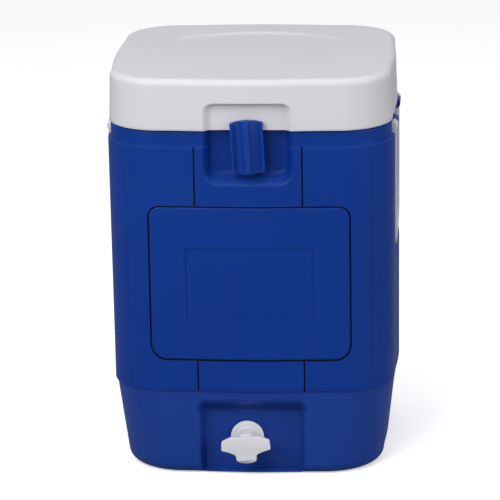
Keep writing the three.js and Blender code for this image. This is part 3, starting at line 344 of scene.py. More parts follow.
@dataclass(frozen=True)
class Floor:
    """The pale lit studio floor, which throws little light back on the dispenser."""

    name: str
    glow: float = 0.42

    def build(self) -> bpy.types.Material:
        """Returns the material."""
        shader = Shader(self.name)
        cloud = shader.noise(1.5, 2.0)
        seen = shader.mix(cloud, (0.94, 0.94, 0.94), (0.96, 0.96, 0.96))
        direct = Value(shader, shader.node("ShaderNodeLightPath").outputs["Is Camera Ray"])
        return shader.surface(
            {
                "Base Color": shader.mix(direct, (0.34, 0.34, 0.35), seen),
                "Roughness": 1.0,
                "Specular IOR Level": 0.0,
                "Emission Color": shader.mix(direct, (0.0, 0.0, 0.0), seen),
                "Emission Strength": self.glow,
            }
        )


class Finish(Enum):
    """The finishes of the dispenser, each built once."""

    SHELL_BLUE = Plastic(
        "shell_blue", (0.0024, 0.0300, 0.215), (0.0030, 0.0330, 0.228), 0.40,
        # The paler blue on upward faces is painted top light mixed with dust.
        grain=0.00010, rubs=0.08, dust_and_top_light=0.10, dust_and_top_light_colour=(0.10, 0.16, 0.45), specular=0.12,
    )
    LATCH_BLUE = Plastic(
        "latch_blue", (0.0030, 0.0330, 0.240), (0.0036, 0.0360, 0.255), 0.33,
        grain=0.00003, rubs=0.08, specular=0.2,
    )
    BASE_BLUE = Plastic(
        "base_blue", (0.0062, 0.0370, 0.236), (0.0070, 0.0395, 0.246), 0.40,
        grain=0.00010, rubs=0.08, specular=0.18,
    )
    # Near-black finish that the groove and panel-pocket cutters pass to their cut faces: painted shade
    # in the gaps.
    GAP_SHADE = Plastic("painted_gap_shade", (0.002, 0.004, 0.012), (0.002, 0.004, 0.012), 0.8)
    LID_WHITE = Plastic(
        "lid_white", (0.560, 0.558, 0.582), (0.575, 0.570, 0.592), 0.42, grain=0.00007, rubs=0.08,
        # The paler white on upward faces is painted top light mixed with dust.
        dust_and_top_light=0.08, dust_and_top_light_colour=(0.66, 0.66, 0.68),
    )
    HANDLE_WHITE = Plastic(
        "handle_white", (0.60, 0.60, 0.65), (0.63, 0.63, 0.67), 0.36, grain=0.00004,
    )
    HINGE_WHITE = Plastic(
        "hinge_white", (0.60, 0.60, 0.62), (0.62, 0.62, 0.64), 0.45, grain=0.00005,
    )
    LINER_WHITE = Plastic(
        "liner_white", (0.78, 0.78, 0.79), (0.80, 0.80, 0.81), 0.30, grain=0.00002,
    )
    TAP_WHITE = Plastic(
        "tap_white", (0.62, 0.62, 0.655), (0.65, 0.65, 0.68), 0.28, grain=0.00002,
        grain_cells=1400.0, rubs=0.12,
    )
    SEAL_GREY = Plastic("seal_grey", (0.06, 0.06, 0.065), (0.07, 0.07, 0.075), 0.75)
    STEEL = Steel("steel")
    FOAM = Foam("foam")
    FLOOR = Floor("studio_floor")

    def material(self) -> bpy.types.Material:
        """Returns this finish's material, built the first time it is asked for."""
        found = bpy.data.materials.get(self.value.name)
        return found or self.value.build()


# ------------------------------------------------------------------ mesh work


def start_clean() -> None:
    """Leaves edit mode and deselects everything."""
    if bpy.context.object and bpy.context.object.mode != "OBJECT":
        bpy.ops.object.mode_set(mode="OBJECT")
    bpy.ops.object.select_all(action="DESELECT")


def make_active(piece: bpy.types.Object) -> None:
    """Selects one object alone and makes it active."""
    start_clean()
    piece.select_set(True)
    bpy.context.view_layer.objects.active = piece


def bake_place(piece: bpy.types.Object) -> None:
    """Puts an object's place, turn and size into its mesh."""
    make_active(piece)
    bpy.ops.object.transform_apply(location=True, rotation=True, scale=True)


def tidy_mesh(piece: bpy.types.Object) -> None:
    """Merges doubled points and turns all faces outwards."""
    make_active(piece)
    bpy.ops.object.mode_set(mode="EDIT")
    bpy.ops.mesh.select_all(action="SELECT")
    bpy.ops.mesh.remove_doubles(threshold=MERGE_DISTANCE)
    bpy.ops.mesh.normals_make_consistent(inside=False)
    bpy.ops.object.mode_set(mode="OBJECT")


def close_loop(piece: bpy.types.Object, inside: Callable[[Vector], bool]) -> None:
    """Fills an open edge loop with one face.

    Args:
        piece: The object.
        inside: Says whether a point belongs to the loop.
    """
    make_active(piece)
    bpy.ops.object.mode_set(mode="EDIT")
    bpy.ops.mesh.select_mode(type="VERT")
    bpy.ops.mesh.select_all(action="DESELECT")
    bpy.ops.object.mode_set(mode="OBJECT")
    for vertex in piece.data.vertices:
        vertex.select = inside(vertex.co)
    bpy.ops.object.mode_set(mode="EDIT")
    bpy.ops.mesh.edge_face_add()
    bpy.ops.object.mode_set(mode="OBJECT")


def modify(piece: bpy.types.Object, kind: str, settings: Mapping[str, object]) -> None:
    """Adds a modifier and applies it.

    Args:
        piece: The object.
        kind: The modifier's type.
        settings: Its properties.
    """
    make_active(piece)
    modifier = piece.modifiers.new(kind.lower(), kind)
    for key, value in settings.items():
        setattr(modifier, key, value)
    bpy.ops.object.modifier_apply(modifier=modifier.name)


def thicken(piece: bpy.types.Object, thickness: float) -> None:
    """Gives an open skin a wall on its inner side, with closed rims."""
    modify(piece, "SOLIDIFY", {"thickness": thickness, "offset": -1.0, "use_rim": True})


def soften(piece: bpy.types.Object, width: float, segments: int = 3, angle: float = 30.0) -> None:
    """Rounds the sharp edges of a piece.

    Args:
        piece: The object.
        width: How far each round reaches.
        segments: Steps across the round.
        angle: Smallest edge angle, in degrees, that is rounded.
    """
    settings = {
        "width": width,
        "segments": segments,
        "limit_method": "ANGLE",
        "angle_limit": math.radians(angle),
        "miter_outer": "MITER_ARC",
        "use_clamp_overlap": True,
    }
    modify(piece, "BEVEL", settings)


class Cut(Enum):
    """How one solid meets another."""

    AWAY = "DIFFERENCE"
    JOIN = "UNION"
    KEEP = "INTERSECT"


def combine(piece: bpy.types.Object, other: bpy.types.Object, how: Cut) -> None:
    """Joins, cuts or trims a piece with another solid, which is used up.

    Args:
        piece: The object that stays.
        other: The other solid.
        how: The kind of boolean.
    """
    settings = {
        "object": other,
        "operation": how.value,
        "solver": "EXACT",
        "material_mode": "TRANSFER",
    }
    modify(piece, "BOOLEAN", settings)
    bpy.data.objects.remove(other, do_unlink=True)


def smooth(piece: bpy.types.Object, angle: float = SMOOTH_ANGLE) -> None:
    """Shades a piece smooth except across its sharp edges."""
    make_active(piece)
    bpy.ops.object.shade_smooth_by_angle(angle=angle)


def graded(start: float, *runs: tuple[float, int]) -> list[float]:
    """Returns numbers that run on from start through each (end, steps) pair."""
    values = [start]
    for end, steps in runs:
        first = values[-1]
        values += [first + (end - first) * (i + 1) / steps for i in range(steps)]
    return values


def ease(t: float) -> float:
    """Returns t from 0 to 1 with a soft start and end."""
    t = min(max(t, 0.0), 1.0)
    return t * t * (3 - 2 * t)


def box_piece(name: str, low: Sequence[float], high: Sequence[float]) -> bpy.types.Object:
    """Returns a box between two corners, to be shaped further."""
    start_clean()
    low, high = Vector(low), Vector(high)
    bpy.ops.mesh.primitive_cube_add(size=1, location=(low + high) / 2)
    piece = bpy.context.object
    piece.name = name
    piece.scale = high - low
    bake_place(piece)
    return piece


class Axis(Enum):
    """The direction of a turned piece, as the turn that takes +Z to it."""

    Y = (-math.pi / 2, 0.0, 0.0)
    Z = (0.0, 0.0, 0.0)


def rod_piece(
    name: str,
    axis: Axis,
    centre: Sequence[float],
    radius: float,
    length: float,
    steps: int = 64,
) -> bpy.types.Object:
    """Returns a round bar, to be shaped further.

    Args:
        name: The object's name.
        axis: The bar's direction.
        centre: The middle of the bar.
        radius: Its radius.
        length: Its length.
        steps: Facets round it.

    Returns:
        The new object.
    """
    start_clean()
    bpy.ops.mesh.primitive_cylinder_add(
        vertices=steps, radius=radius, depth=length, location=centre, rotation=axis.value
    )
    piece = bpy.context.object
    piece.name = name
    bake_place(piece)
    return piece


def slab_piece(
    name: str, outline: Sequence[Sequence[float]], rise: Sequence[float]
) -> bpy.types.Object:
    """Returns a solid made by extruding a flat outline.

    Args:
        name: The object's name.
        outline: The points of the outline, in order.
        rise: How far and which way it is extruded.

    Returns:
        The new object.
    """
    start_clean()
    bpy.ops.mesh.primitive_circle_add(vertices=len(outline), fill_type="NGON")
    piece = bpy.context.object
    piece.name = name
    for vertex, point in zip(piece.data.vertices, outline):
        vertex.co = Vector(point)
    bpy.ops.object.mode_set(mode="EDIT")
    bpy.ops.mesh.select_all(action="SELECT")
    bpy.ops.mesh.extrude_region_move(TRANSFORM_OT_translate={"value": tuple(rise)})
    bpy.ops.object.mode_set(mode="OBJECT")
    tidy_mesh(piece)
    return piece


def arc(centre: Point, radius: float, start: float, end: float, steps: int) -> list[Point]:
    """Returns points on an arc, with its angles in degrees."""
    angles = [math.radians(start + (end - start) * i / steps) for i in range(steps + 1)]
    return [(centre[0] + radius * math.cos(a), centre[1] + radius * math.sin(a)) for a in angles]


def bow(start: Point, control: Point, end: Point, steps: int) -> list[Point]:
    """Returns points on a quadratic curve, without its first point."""
    points = []
    for i in range(1, steps + 1):
        t = i / steps
        weights = ((1 - t) ** 2, 2 * t * (1 - t), t * t)
        points.append(
            tuple(
                sum(w * p[axis] for w, p in zip(weights, (start, control, end)))
                for axis in range(2)
            )
        )
    return points


# ------------------------------------------------------------------ wrapped skins


@dataclass(frozen=True)
class Column:
    """One upright line of a wrapped skin: along a straight side, or turned into a corner."""

    side: int
    along: float | None = None
    turn: float = 0.0
    crease: bool = False


@dataclass(frozen=True)
class Section:
    """A level outline: a rounded rectangle whose sides bow outwards."""

    half_width: float
    half_depth: float
    radius: float
    front_bulge: float
    side_bulge: float

    def inset(self, distance: float) -> "Section":
        """Returns the outline moved inwards."""
        return Section(
            self.half_width - distance,
            self.half_depth - distance,
            max(self.radius - distance, SMALLEST_CORNER),
            self.front_bulge,
            self.side_bulge,
        )

    def mixed(self, other: "Section", t: float) -> "Section":
        """Returns the outline a share t of the way to another."""
        t = min(max(t, 0.0), 1.0)
        pairs = (
            (self.half_width, other.half_width),
            (self.half_depth, other.half_depth),
            (self.radius, other.radius),
            (self.front_bulge, other.front_bulge),
            (self.side_bulge, other.side_bulge),
        )
        return Section(*(a + (b - a) * t for a, b in pairs))

    def point(self, column: Column) -> Vector:
        """Returns where a column meets this outline."""
        flat = (self.half_width - self.side_bulge, self.half_depth - self.front_bulge)
        start = column.side * math.pi / 2
        normal = Vector((math.cos(start), math.sin(start)))
        along = Vector((-normal.y, normal.x))
        out = flat[column.side % 2]
        half = flat[(column.side + 1) % 2] - self.radius
        if column.along is not None:
            bulge = (self.side_bulge, self.front_bulge)[column.side % 2]
            swell = bulge * (1 - column.along**2) ** 2
            return normal * (out + swell) + along * (half * column.along)
        angle = start + column.turn
        centre = normal * (out - self.radius) + along * half
        return centre + Vector((math.cos(angle), math.sin(angle))) * self.radius

    def front(self, x: float) -> float:
        """Returns the front surface's Y at a given X."""
        half = self.half_width - self.side_bulge - self.radius
        out = self.half_depth - self.front_bulge
        if abs(x) <= half:
            return -(out + self.front_bulge * (1 - (x / half) ** 2) ** 2)
        return -(out - self.radius + math.sqrt(self.radius**2 - (abs(x) - half) ** 2))


@dataclass(frozen=True)
class Row:
    """One level line of a wrapped skin."""

    z: float
    inset: float = 0.0
    depth: float = 0.0


OPEN_TOP = 1.0


class Wall(Enum):
    """The walls that a pocket can be pressed into."""

    FRONT = 0
    RIGHT = 1
    LEFT = 2


@dataclass(frozen=True)
class Pocket:
    """A soft-edged pocket pressed into a wall, with drafted sides."""

    wall: Wall
    floor: float
    half_width: float
    bottom: float
    top: float
    side_draft: float
    bottom_draft: float
    top_draft: float
    corner: float = 0.0001

    def press(self, point: Vector, depth: float) -> Vector:
        """Moves a point inwards where it lies in the pocket.

        Args:
            point: The point on the wall.
            depth: How far inside the outer skin the point belongs.

        Returns:
            The pressed point.
        """
        front = self.wall is Wall.FRONT
        across = point.x if front else point.y
        out = {Wall.FRONT: -point.y, Wall.RIGHT: point.x, Wall.LEFT: -point.x}[self.wall]
        floor = self.floor - depth
        if out <= floor:
            return point
        below, above = self.bottom - depth - point.z, point.z - depth - self.top
        side = max(abs(across) - self.half_width - depth + self.corner, 0.0)
        rise = max(below + self.corner, above + self.corner, 0.0)
        away = math.hypot(side, rise)
        slope = self.bottom_draft if below > above else self.top_draft
        turn = (side / away) ** 2 if away else 0.0
        draft = slope + (self.side_draft - slope) * turn
        share = 1 - ease((away - self.corner) / draft)
        moved = out + (floor - out) * share
        if front:
            return Vector((point.x, -moved, point.z))
        return Vector((math.copysign(moved, point.x), point.y, point.z))


CORNER_TURNS = (
    4, 9, 14, 19, 24, 29, 34, 39, 44, 48, 50.5, 51.7, 52.9, 57, 62, 67, 72, 77, 82, 86,
)
CREASE_TURN = 51.7
SIDE_PLACES = graded(-1, (-0.93, 2), (-0.84, 9), (0.84, 12), (0.93, 9), (1, 2))
REAR_COLUMNS = 22


def body_columns(front: Sequence[float]) -> list[Column]:
    """Returns the columns round a body, from the right side by the rear to the front.

    Args:
        front: Places along the front, from -1 at its left end to 1 at its right end.

    Returns:
        The columns, in order.
    """
    rear = graded(-1, (1, REAR_COLUMNS))
    columns = []
    for side in range(4):
        places = (SIDE_PLACES, rear, SIDE_PLACES, front)[side]
        columns += [Column(side, along=t) for t in places]
        turns = CORNER_TURNS if side % 2 == 0 else [90 - t for t in reversed(CORNER_TURNS)]
        crease = CREASE_TURN if side % 2 == 0 else 90 - CREASE_TURN
        columns += [
            Column(side, turn=math.radians(t), crease=side >= 2 and t == crease) for t in turns
        ]
    return columns


def wrapped_skin(
    name: str,
    columns: Sequence[Column],
    rows: Sequence[Row],
    place: Callable[[Column, Row], Vector],
    closed: bool = False,
) -> bpy.types.Object:
    """Wraps a grid round a body.

    Args:
        name: The object's name.
        columns: The upright lines, in order round the body.
        rows: The level lines, in order.
        place: Gives the point where a column meets a row.
        closed: Says whether the last row joins the first, as on a wall with two faces.

    Returns:
        The skin.
    """
    start_clean()
    strips = len(rows) if closed else len(rows) - 1
    bpy.ops.mesh.primitive_grid_add(x_subdivisions=len(columns), y_subdivisions=strips, size=2)
    piece = bpy.context.object
    piece.name = name
    for vertex in piece.data.vertices:
        i = round((vertex.co.x + 1) / 2 * len(columns)) % len(columns)
        j = round((vertex.co.y + 1) / 2 * strips) % len(rows)
        vertex.co = place(columns[i], rows[j])
    tidy_mesh(piece)
    return piece


def hand_over(
    piece: bpy.types.Object,
    finish: Finish,
    body: str,
    nodes: Sequence[str] = (),
) -> bpy.types.Object:
    """Gives a finished piece its material and its place in the frame.

    Args:
        piece: The finished object.
        finish: Its finish, which takes the first material slot.
        body: The CAD body that it rides on.
        nodes: The CAD nodes that it stands for.

    Returns:
        The same object.
    """
    if piece.data.materials:
        piece.data.materials[0] = finish.material()
    else:
        piece.data.materials.append(finish.material())
    smooth(piece)
    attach(piece, body)
    if nodes:
        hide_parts(*nodes)
    LOG.info("%s: %d faces, rides on %s", piece.name, len(piece.data.polygons), body)
    return piece


# ------------------------------------------------------------------ the body


@dataclass
class BodyForm:
    """The sections and pockets that the shell, the base, the liner and the lid share."""

    half_width: float = 0.1917
    base_line: float = 0.117
    ledge: float = 0.450
    rim: float = 0.470
    half_depth: float = 0.1775
    corner: float = 0.072
    front_bulge: float = 0.0046
    side_bulge: float = 0.0035
    taper_x: float = 0.0015
    taper_y: float = 0.0047
    corner_taper: float = 0.002
    neck: float = 0.004
    liner_inset: float = 0.027
    liner_wall: float = 0.0025

    @property
    def top(self) -> Section:
        """The outline at the ledge."""
        return Section(
            self.half_width, self.half_depth, self.corner, self.front_bulge, self.side_bulge
        )

    @property
    def bottom(self) -> Section:
        """The outline at the base line."""
        return Section(
            self.half_width - self.taper_x,
            self.half_depth - self.taper_y,
            self.corner - self.corner_taper,
            self.front_bulge,
            self.side_bulge,
        )

    def section(self, z: float) -> Section:
        """Returns the shell's outline at a height."""
        return self.bottom.mixed(self.top, (z - self.base_line) / (self.ledge - self.base_line))

    def front(self, x: float, z: float) -> float:
        """Returns the Y of the shell's front surface."""
        return self.section(z).front(x)

    @property
    def latch_pocket(self) -> Pocket:
        """The recess round the latch."""
        return Pocket(
            Wall.FRONT,
            floor=0.1575,
            half_width=0.0485,
            bottom=0.4145,
            top=OPEN_TOP,
            side_draft=0.010,
            bottom_draft=0.0165,
            top_draft=0.01,
            corner=0.008,
        )

    @property
    def handle_pockets(self) -> tuple[Pocket, Pocket]:
        """The recesses behind the two side handles."""
        right = Pocket(
            Wall.RIGHT,
            floor=0.1742,
            half_width=0.0862,
            bottom=0.2885,
            top=OPEN_TOP,
            side_draft=0.0055,
            bottom_draft=0.008,
            top_draft=0.01,
            corner=0.022,
        )
        return right, replace(right, wall=Wall.LEFT)


@dataclass
class Shell:
    """The blue outer shell with its neck, its recesses, its grooves and its handle lugs."""

    form: BodyForm
    wall: float = 0.0036
    gap_width: float = 0.0022
    pocket_depth: float = 0.0031
    groove_x: float = 0.0701
    groove_width: float = 0.0021
    groove_depth: float = 0.0030
    crease_depth: float = 0.0007
    lug_length: float = 0.026
    lug_end: float = 0.068
    lug_radius: float = 0.0065
    lug_web_rise: float = 0.005
    lug_root: float = 0.002
    lug_round: float = 0.0008
    overcut: float = 0.002
    boss_radius: float = 0.012
    boss_gap: float = 0.0004
    boss_root: float = 0.0005

    def rows(self) -> list[Row]:
        """Returns the shell's level lines from its lower lip to its rim."""
        base, ledge, rim = self.form.base_line, self.form.ledge, self.form.rim
        neck, wall = self.form.neck, self.wall
        lip = [(0.0, wall), (0.0, 0.0010), (0.0004, 0.0003), (0.0014, 0.0)]
        rows = [Row(base + z, inset) for z, inset in lip]
        heights = graded(0.124, (0.276, 14), (0.294, 12), (0.394, 10), (0.418, 14), (0.4465, 5))
        rows += [Row(z) for z in heights]
        edge = [(-0.0018, 0.0), (-0.0009, 0.0002), (-0.0003, 0.0008), (0.0, 0.0018)]
        step = [(0.0001, neck - 0.0010), (0.0004, neck - 0.0002), (0.0013, neck)]
        rows += [Row(ledge + z, inset) for z, inset in edge + step]
        rows += [Row(z, neck) for z in graded(0.455, (0.4685, 4))]
        rows += [Row(rim - 0.0008, neck + 0.0003, 0.0003), Row(rim, neck + 0.0014, 0.0014)]
        rows += [Row(rim - 0.0001, neck + wall - 0.0002, wall), Row(rim - 0.001, neck + wall, wall)]
        rows += [Row(z, neck + wall, wall) for z in (0.460, ledge - wall)]
        inner = graded(ledge - 2 * wall, (0.400, 12), (0.300, 8), (0.270, 8), (base + 0.002, 8))
        return rows + [Row(z, wall, wall) for z in inner]

    def place(self, column: Column, row: Row) -> Vector:
        """Returns a point of the shell's outer skin."""
        inset = row.inset
        if column.crease and row.z < self.form.ledge - self.overcut:
            inset += self.crease_depth
        flat = self.form.section(row.z).inset(inset).point(column)
        point = Vector((flat.x, flat.y, row.z))
        point = self.form.latch_pocket.press(point, row.depth)
        for pocket in self.form.handle_pockets:
            point = pocket.press(point, row.depth)
        return point

    def groove(self, side: int, low: float, high: float) -> bpy.types.Object:
        """Returns the cutter of one upright groove."""
        x = side * self.groove_x
        half = self.groove_width / 2
        cutter = box_piece("groove", (x - half, -0.2, low), (x + half, -0.1, high))
        for vertex in cutter.data.vertices:
            if vertex.co.y > -0.15:
                vertex.co.y = self.form.front(x, vertex.co.z) + self.groove_depth
        # The groove's cut faces take this near-black finish as painted shade.
        cutter.data.materials.append(Finish.GAP_SHADE.material())
        return cutter

    def lugs(self, side: int) -> list[bpy.types.Object]:
        """Returns the two lugs that carry one handle's pins."""
        low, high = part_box("handle_pin_right_front")
        x, z = side * (low.x + high.x) / 2, (low.z + high.z) / 2
        floor = self.form.handle_pockets[0].floor
        made = []
        for end in (-1, 1):
            middle = end * (self.lug_end - self.lug_length / 2)
            lug = rod_piece("lug", Axis.Y, (x, middle, z), self.lug_radius, self.lug_length)
            xs = sorted((side * (floor - self.lug_root), x))
            web = box_piece(
                "web",
                (xs[0], middle - self.lug_length / 2, z - self.lug_radius),
                (xs[1], middle + self.lug_length / 2, z + self.lug_web_rise),
            )
            combine(lug, web, Cut.JOIN)
            soften(lug, self.lug_round, 2)
            made.append(lug)
        return made

    def build(self, panel: "FrontPanel") -> bpy.types.Object:
        """Models the shell and hands it over.

        Args:
            panel: The front panel, whose pocket is cut into the shell.

        Returns:
            The shell.
        """
        front = graded(-1, (-0.55, 6), (-0.40, 12), (0.40, 12), (0.55, 12), (1, 6))
        shell = wrapped_skin("shell", body_columns(front), self.rows(), self.place, closed=True)
        shell.data.materials.append(Finish.SHELL_BLUE.material())
        combine(shell, panel.pocket_cutter(self.gap_width, self.pocket_depth), Cut.AWAY)
        for side in (-1, 1):
            top = self.groove(side, panel.top + self.gap_width / 2, self.form.ledge + self.overcut)
            combine(shell, top, Cut.AWAY)
            low = self.groove(
                side, self.form.base_line - self.overcut, panel.bottom - self.overcut / 2
            )
            combine(shell, low, Cut.AWAY)
            for lug in self.lugs(side):
                lug.data.materials.append(Finish.SHELL_BLUE.material())
                combine(shell, lug, Cut.JOIN)
        boss_low, boss_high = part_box("latch_post")
        boss_z = (boss_low.z + boss_high.z) / 2
        floor = -self.form.latch_pocket.floor
        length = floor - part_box("latch")[1].y - self.boss_gap
        boss = rod_piece(
            "boss",
            Axis.Y,
            (0, floor - length / 2 + self.boss_root, boss_z),
            self.boss_radius,
            length + 2 * self.boss_root,
        )
        boss.data.materials.append(Finish.SHELL_BLUE.material())
        combine(shell, boss, Cut.JOIN)
        return hand_over(shell, Finish.SHELL_BLUE, "body", ["outer_shell"])


@dataclass
class FrontPanel:
    """The clip-in front panel with its shallow label recess."""

    form: BodyForm
    half_width: float = 0.1304
    bottom: float = 0.1618
    top: float = 0.3687
    top_radius: float = 0.0134
    bottom_radius: float = 0.0205
    smallest_radius: float = 0.001
    thickness: float = 0.0028
    label_half_width: float = 0.0842
    label_bottom: float = 0.2183
    label_top: float = 0.3143
    label_depth: float = 0.0016
    arc_steps: int = 12
    side_steps: int = 30
    pocket_rings: tuple[float, ...] = (0.0, 0.010, 0.030, 0.050, 0.070, 0.090)
    panel_rings: tuple[float, ...] = (0.003, 0.008, 0.016, 0.028, 0.042, 0.058, 0.076, 0.092)

    def outline(self, grow: float) -> list[Point]:
        """Returns the panel's rounded outline as (x, z) points, moved outwards by grow."""
        half, low, high = self.half_width + grow, self.bottom - grow, self.top + grow
        below = max(self.bottom_radius + grow, self.smallest_radius)
        above = max(self.top_radius + grow, self.smallest_radius)
        corners = (
            ((half - below, low + below), below, -90),
            ((half - above, high - above), above, 0),
            ((above - half, high - above), above, 90),
            ((below - half, low + below), below, 180),
        )
        loops = [arc(c, r, start, start + 90, self.arc_steps) for c, r, start in corners]
        points = []
        for i, loop in enumerate(loops):
            points += loop
            (x0, z0), (x1, z1) = loop[-1], loops[(i + 1) % 4][0]
            for k in range(1, self.side_steps):
                t = k / self.side_steps
                points.append((x0 + (x1 - x0) * t, z0 + (z1 - z0) * t))
        return points

    def dished(self, name: str, rings: Sequence[tuple[float, float]]) -> bpy.types.Object:
        """Wraps rings of the panel's outline over the shell's front surface.

        Args:
            name: The object's name.
            rings: (grow, depth under the surface) pairs from the outside in.

        Returns:
            The open skin, closed in the middle.
        """
        loops = [self.outline(grow) for grow, _ in rings]
        columns = [Column(0, along=float(i)) for i in range(len(loops[0]))]
        rows = [Row(float(j)) for j in range(len(rings))]

        def place(column: Column, row: Row) -> Vector:
            """Returns a point on the dished panel."""
            x, z = loops[int(row.z)][int(column.along)]
            return Vector((x, self.form.front(x, z) + rings[int(row.z)][1], z))

        skin = wrapped_skin(name, columns, rows, place)
        last = {(round(x, 6), round(z, 6)) for x, z in loops[-1]}
        close_loop(skin, lambda co: (round(co.x, 6), round(co.z, 6)) in last)
        tidy_mesh(skin)
        return skin

    def pocket_cutter(self, gap: float, depth: float) -> bpy.types.Object:
        """Returns the solid that cuts the panel's pocket into the shell.

        Args:
            gap: The gap left round the panel.
            depth: The pocket's depth.

        Returns:
            The cutter.
        """
        insets = [gap - step for step in self.pocket_rings]
        cutter = self.dished("pocket_cutter", [(grow, depth) for grow in insets])
        make_active(cutter)
        bpy.ops.object.mode_set(mode="EDIT")
        bpy.ops.mesh.select_all(action="SELECT")
        bpy.ops.mesh.extrude_region_move(TRANSFORM_OT_translate={"value": (0, -0.02, 0)})
        bpy.ops.object.mode_set(mode="OBJECT")
        tidy_mesh(cutter)
        # The pocket's cut faces take this near-black finish as painted shade round the panel.
        cutter.data.materials.append(Finish.GAP_SHADE.material())
        return cutter

    def label_cutter(self) -> bpy.types.Object:
        """Returns the solid that presses the label recess into the panel."""
        start_clean()
        bpy.ops.mesh.primitive_grid_add(x_subdivisions=48, y_subdivisions=16, size=2)
        cutter = bpy.context.object
        cutter.name = "label_cutter"
        for vertex in cutter.data.vertices:
            x = vertex.co.x * self.label_half_width
            t = (vertex.co.y + 1) / 2
            z = self.label_bottom + (self.label_top - self.label_bottom) * t
            vertex.co = (x, self.form.front(x, z) + self.label_depth, z)
        bpy.ops.object.mode_set(mode="EDIT")
        bpy.ops.mesh.select_all(action="SELECT")
        bpy.ops.mesh.extrude_region_move(TRANSFORM_OT_translate={"value": (0, -0.01, 0)})
        bpy.ops.object.mode_set(mode="OBJECT")
        tidy_mesh(cutter)
        cutter.data.materials.append(Finish.SHELL_BLUE.material())
        return cutter

    def build(self) -> bpy.types.Object:
        """Models the panel and hands it over."""
        rounds = [(0.0, 0.0010), (-0.0001, 0.0005), (-0.0004, 0.0002), (-0.0010, 0.0)]
        inner = [(-step, 0.0) for step in self.panel_rings]
        panel = self.dished("front_panel_skin", rounds + inner)
        thicken(panel, self.thickness)
        panel.data.materials.append(Finish.SHELL_BLUE.material())
        combine(panel, self.label_cutter(), Cut.AWAY)
        return hand_over(panel, Finish.SHELL_BLUE, "body", ["front_panel"])


@dataclass
class Base:
    """The blue base moulding with the recess for the tap."""

    form: BodyForm
    step: float = 0.0026
    taper_x: float = 0.014
    taper_y: float = 0.0027
    foot_corner: float = 0.077
    fillet: float = 0.014
    wall: float = 0.003
    underside_rings: tuple[float, ...] = (0.060, 0.040, 0.024)
    ring_slack: float = 0.0005

    @property
    def top(self) -> Section:
        """The outline under the shell's lip."""
        return self.form.bottom.inset(self.step)

    @property
    def foot(self) -> Section:
        """The outline at the floor, before its edge is rounded."""
        return Section(
            self.top.half_width - self.taper_x,
            self.top.half_depth - self.taper_y,
            self.foot_corner,
            self.form.front_bulge,
            self.form.side_bulge,
        )

    @property
    def tap_pocket(self) -> Pocket:
        """The recess round the tap."""
        return Pocket(
            Wall.FRONT,
            floor=0.148,
            half_width=0.0618,
            bottom=0.0047,
            top=0.0815,
            side_draft=0.0085,
            bottom_draft=0.0018,
            top_draft=0.0250,
        )

    def rows(self) -> list[Row]:
        """Returns the base's level lines from the underside up."""
        line = self.form.base_line - CAD_GAP
        rows = [Row(0.0, inset) for inset in self.underside_rings]
        for degrees in (0, 12, 22, 30, 36, 39, 42, 45, 48, 53, 60, 68, 76, 83, 90):
            angle = math.radians(degrees)
            rows.append(
                Row(self.fillet * (1 - math.cos(angle)), self.fillet * (1 - math.sin(angle)))
            )
        rows += [Row(z) for z in graded(0.020, (0.076, 7), (0.110, 17), (line - 0.0012, 2))]
        rows += [Row(line - 0.0003, 0.0003), Row(line, 0.0012), Row(line, 0.0034)]
        return rows

    def place(self, column: Column, row: Row) -> Vector:
        """Returns a point of the base's outer skin."""
        section = self.foot.mixed(self.top, row.z / self.form.base_line)
        flat = section.inset(row.inset).point(column)
        return self.tap_pocket.press(Vector((flat.x, flat.y, row.z)), 0.0)

    def build(self) -> bpy.types.Object:
        """Models the base and hands it over."""
        front = graded(-1, (-0.84, 4), (-0.55, 20), (0.55, 12), (0.84, 20), (1, 4))
        base = wrapped_skin("base", body_columns(front), self.rows(), self.place)
        inner = self.foot.half_width - self.underside_rings[0] + self.ring_slack
        close_loop(base, lambda co: co.z < MERGE_DISTANCE and abs(co.x) < inner and abs(co.y) < inner)
        tidy_mesh(base)
        thicken(base, self.wall)
        for vertex in base.data.vertices:
            vertex.co.z = max(vertex.co.z, 0.0)
        return hand_over(base, Finish.BASE_BLUE, "body", ["base_moulding"])


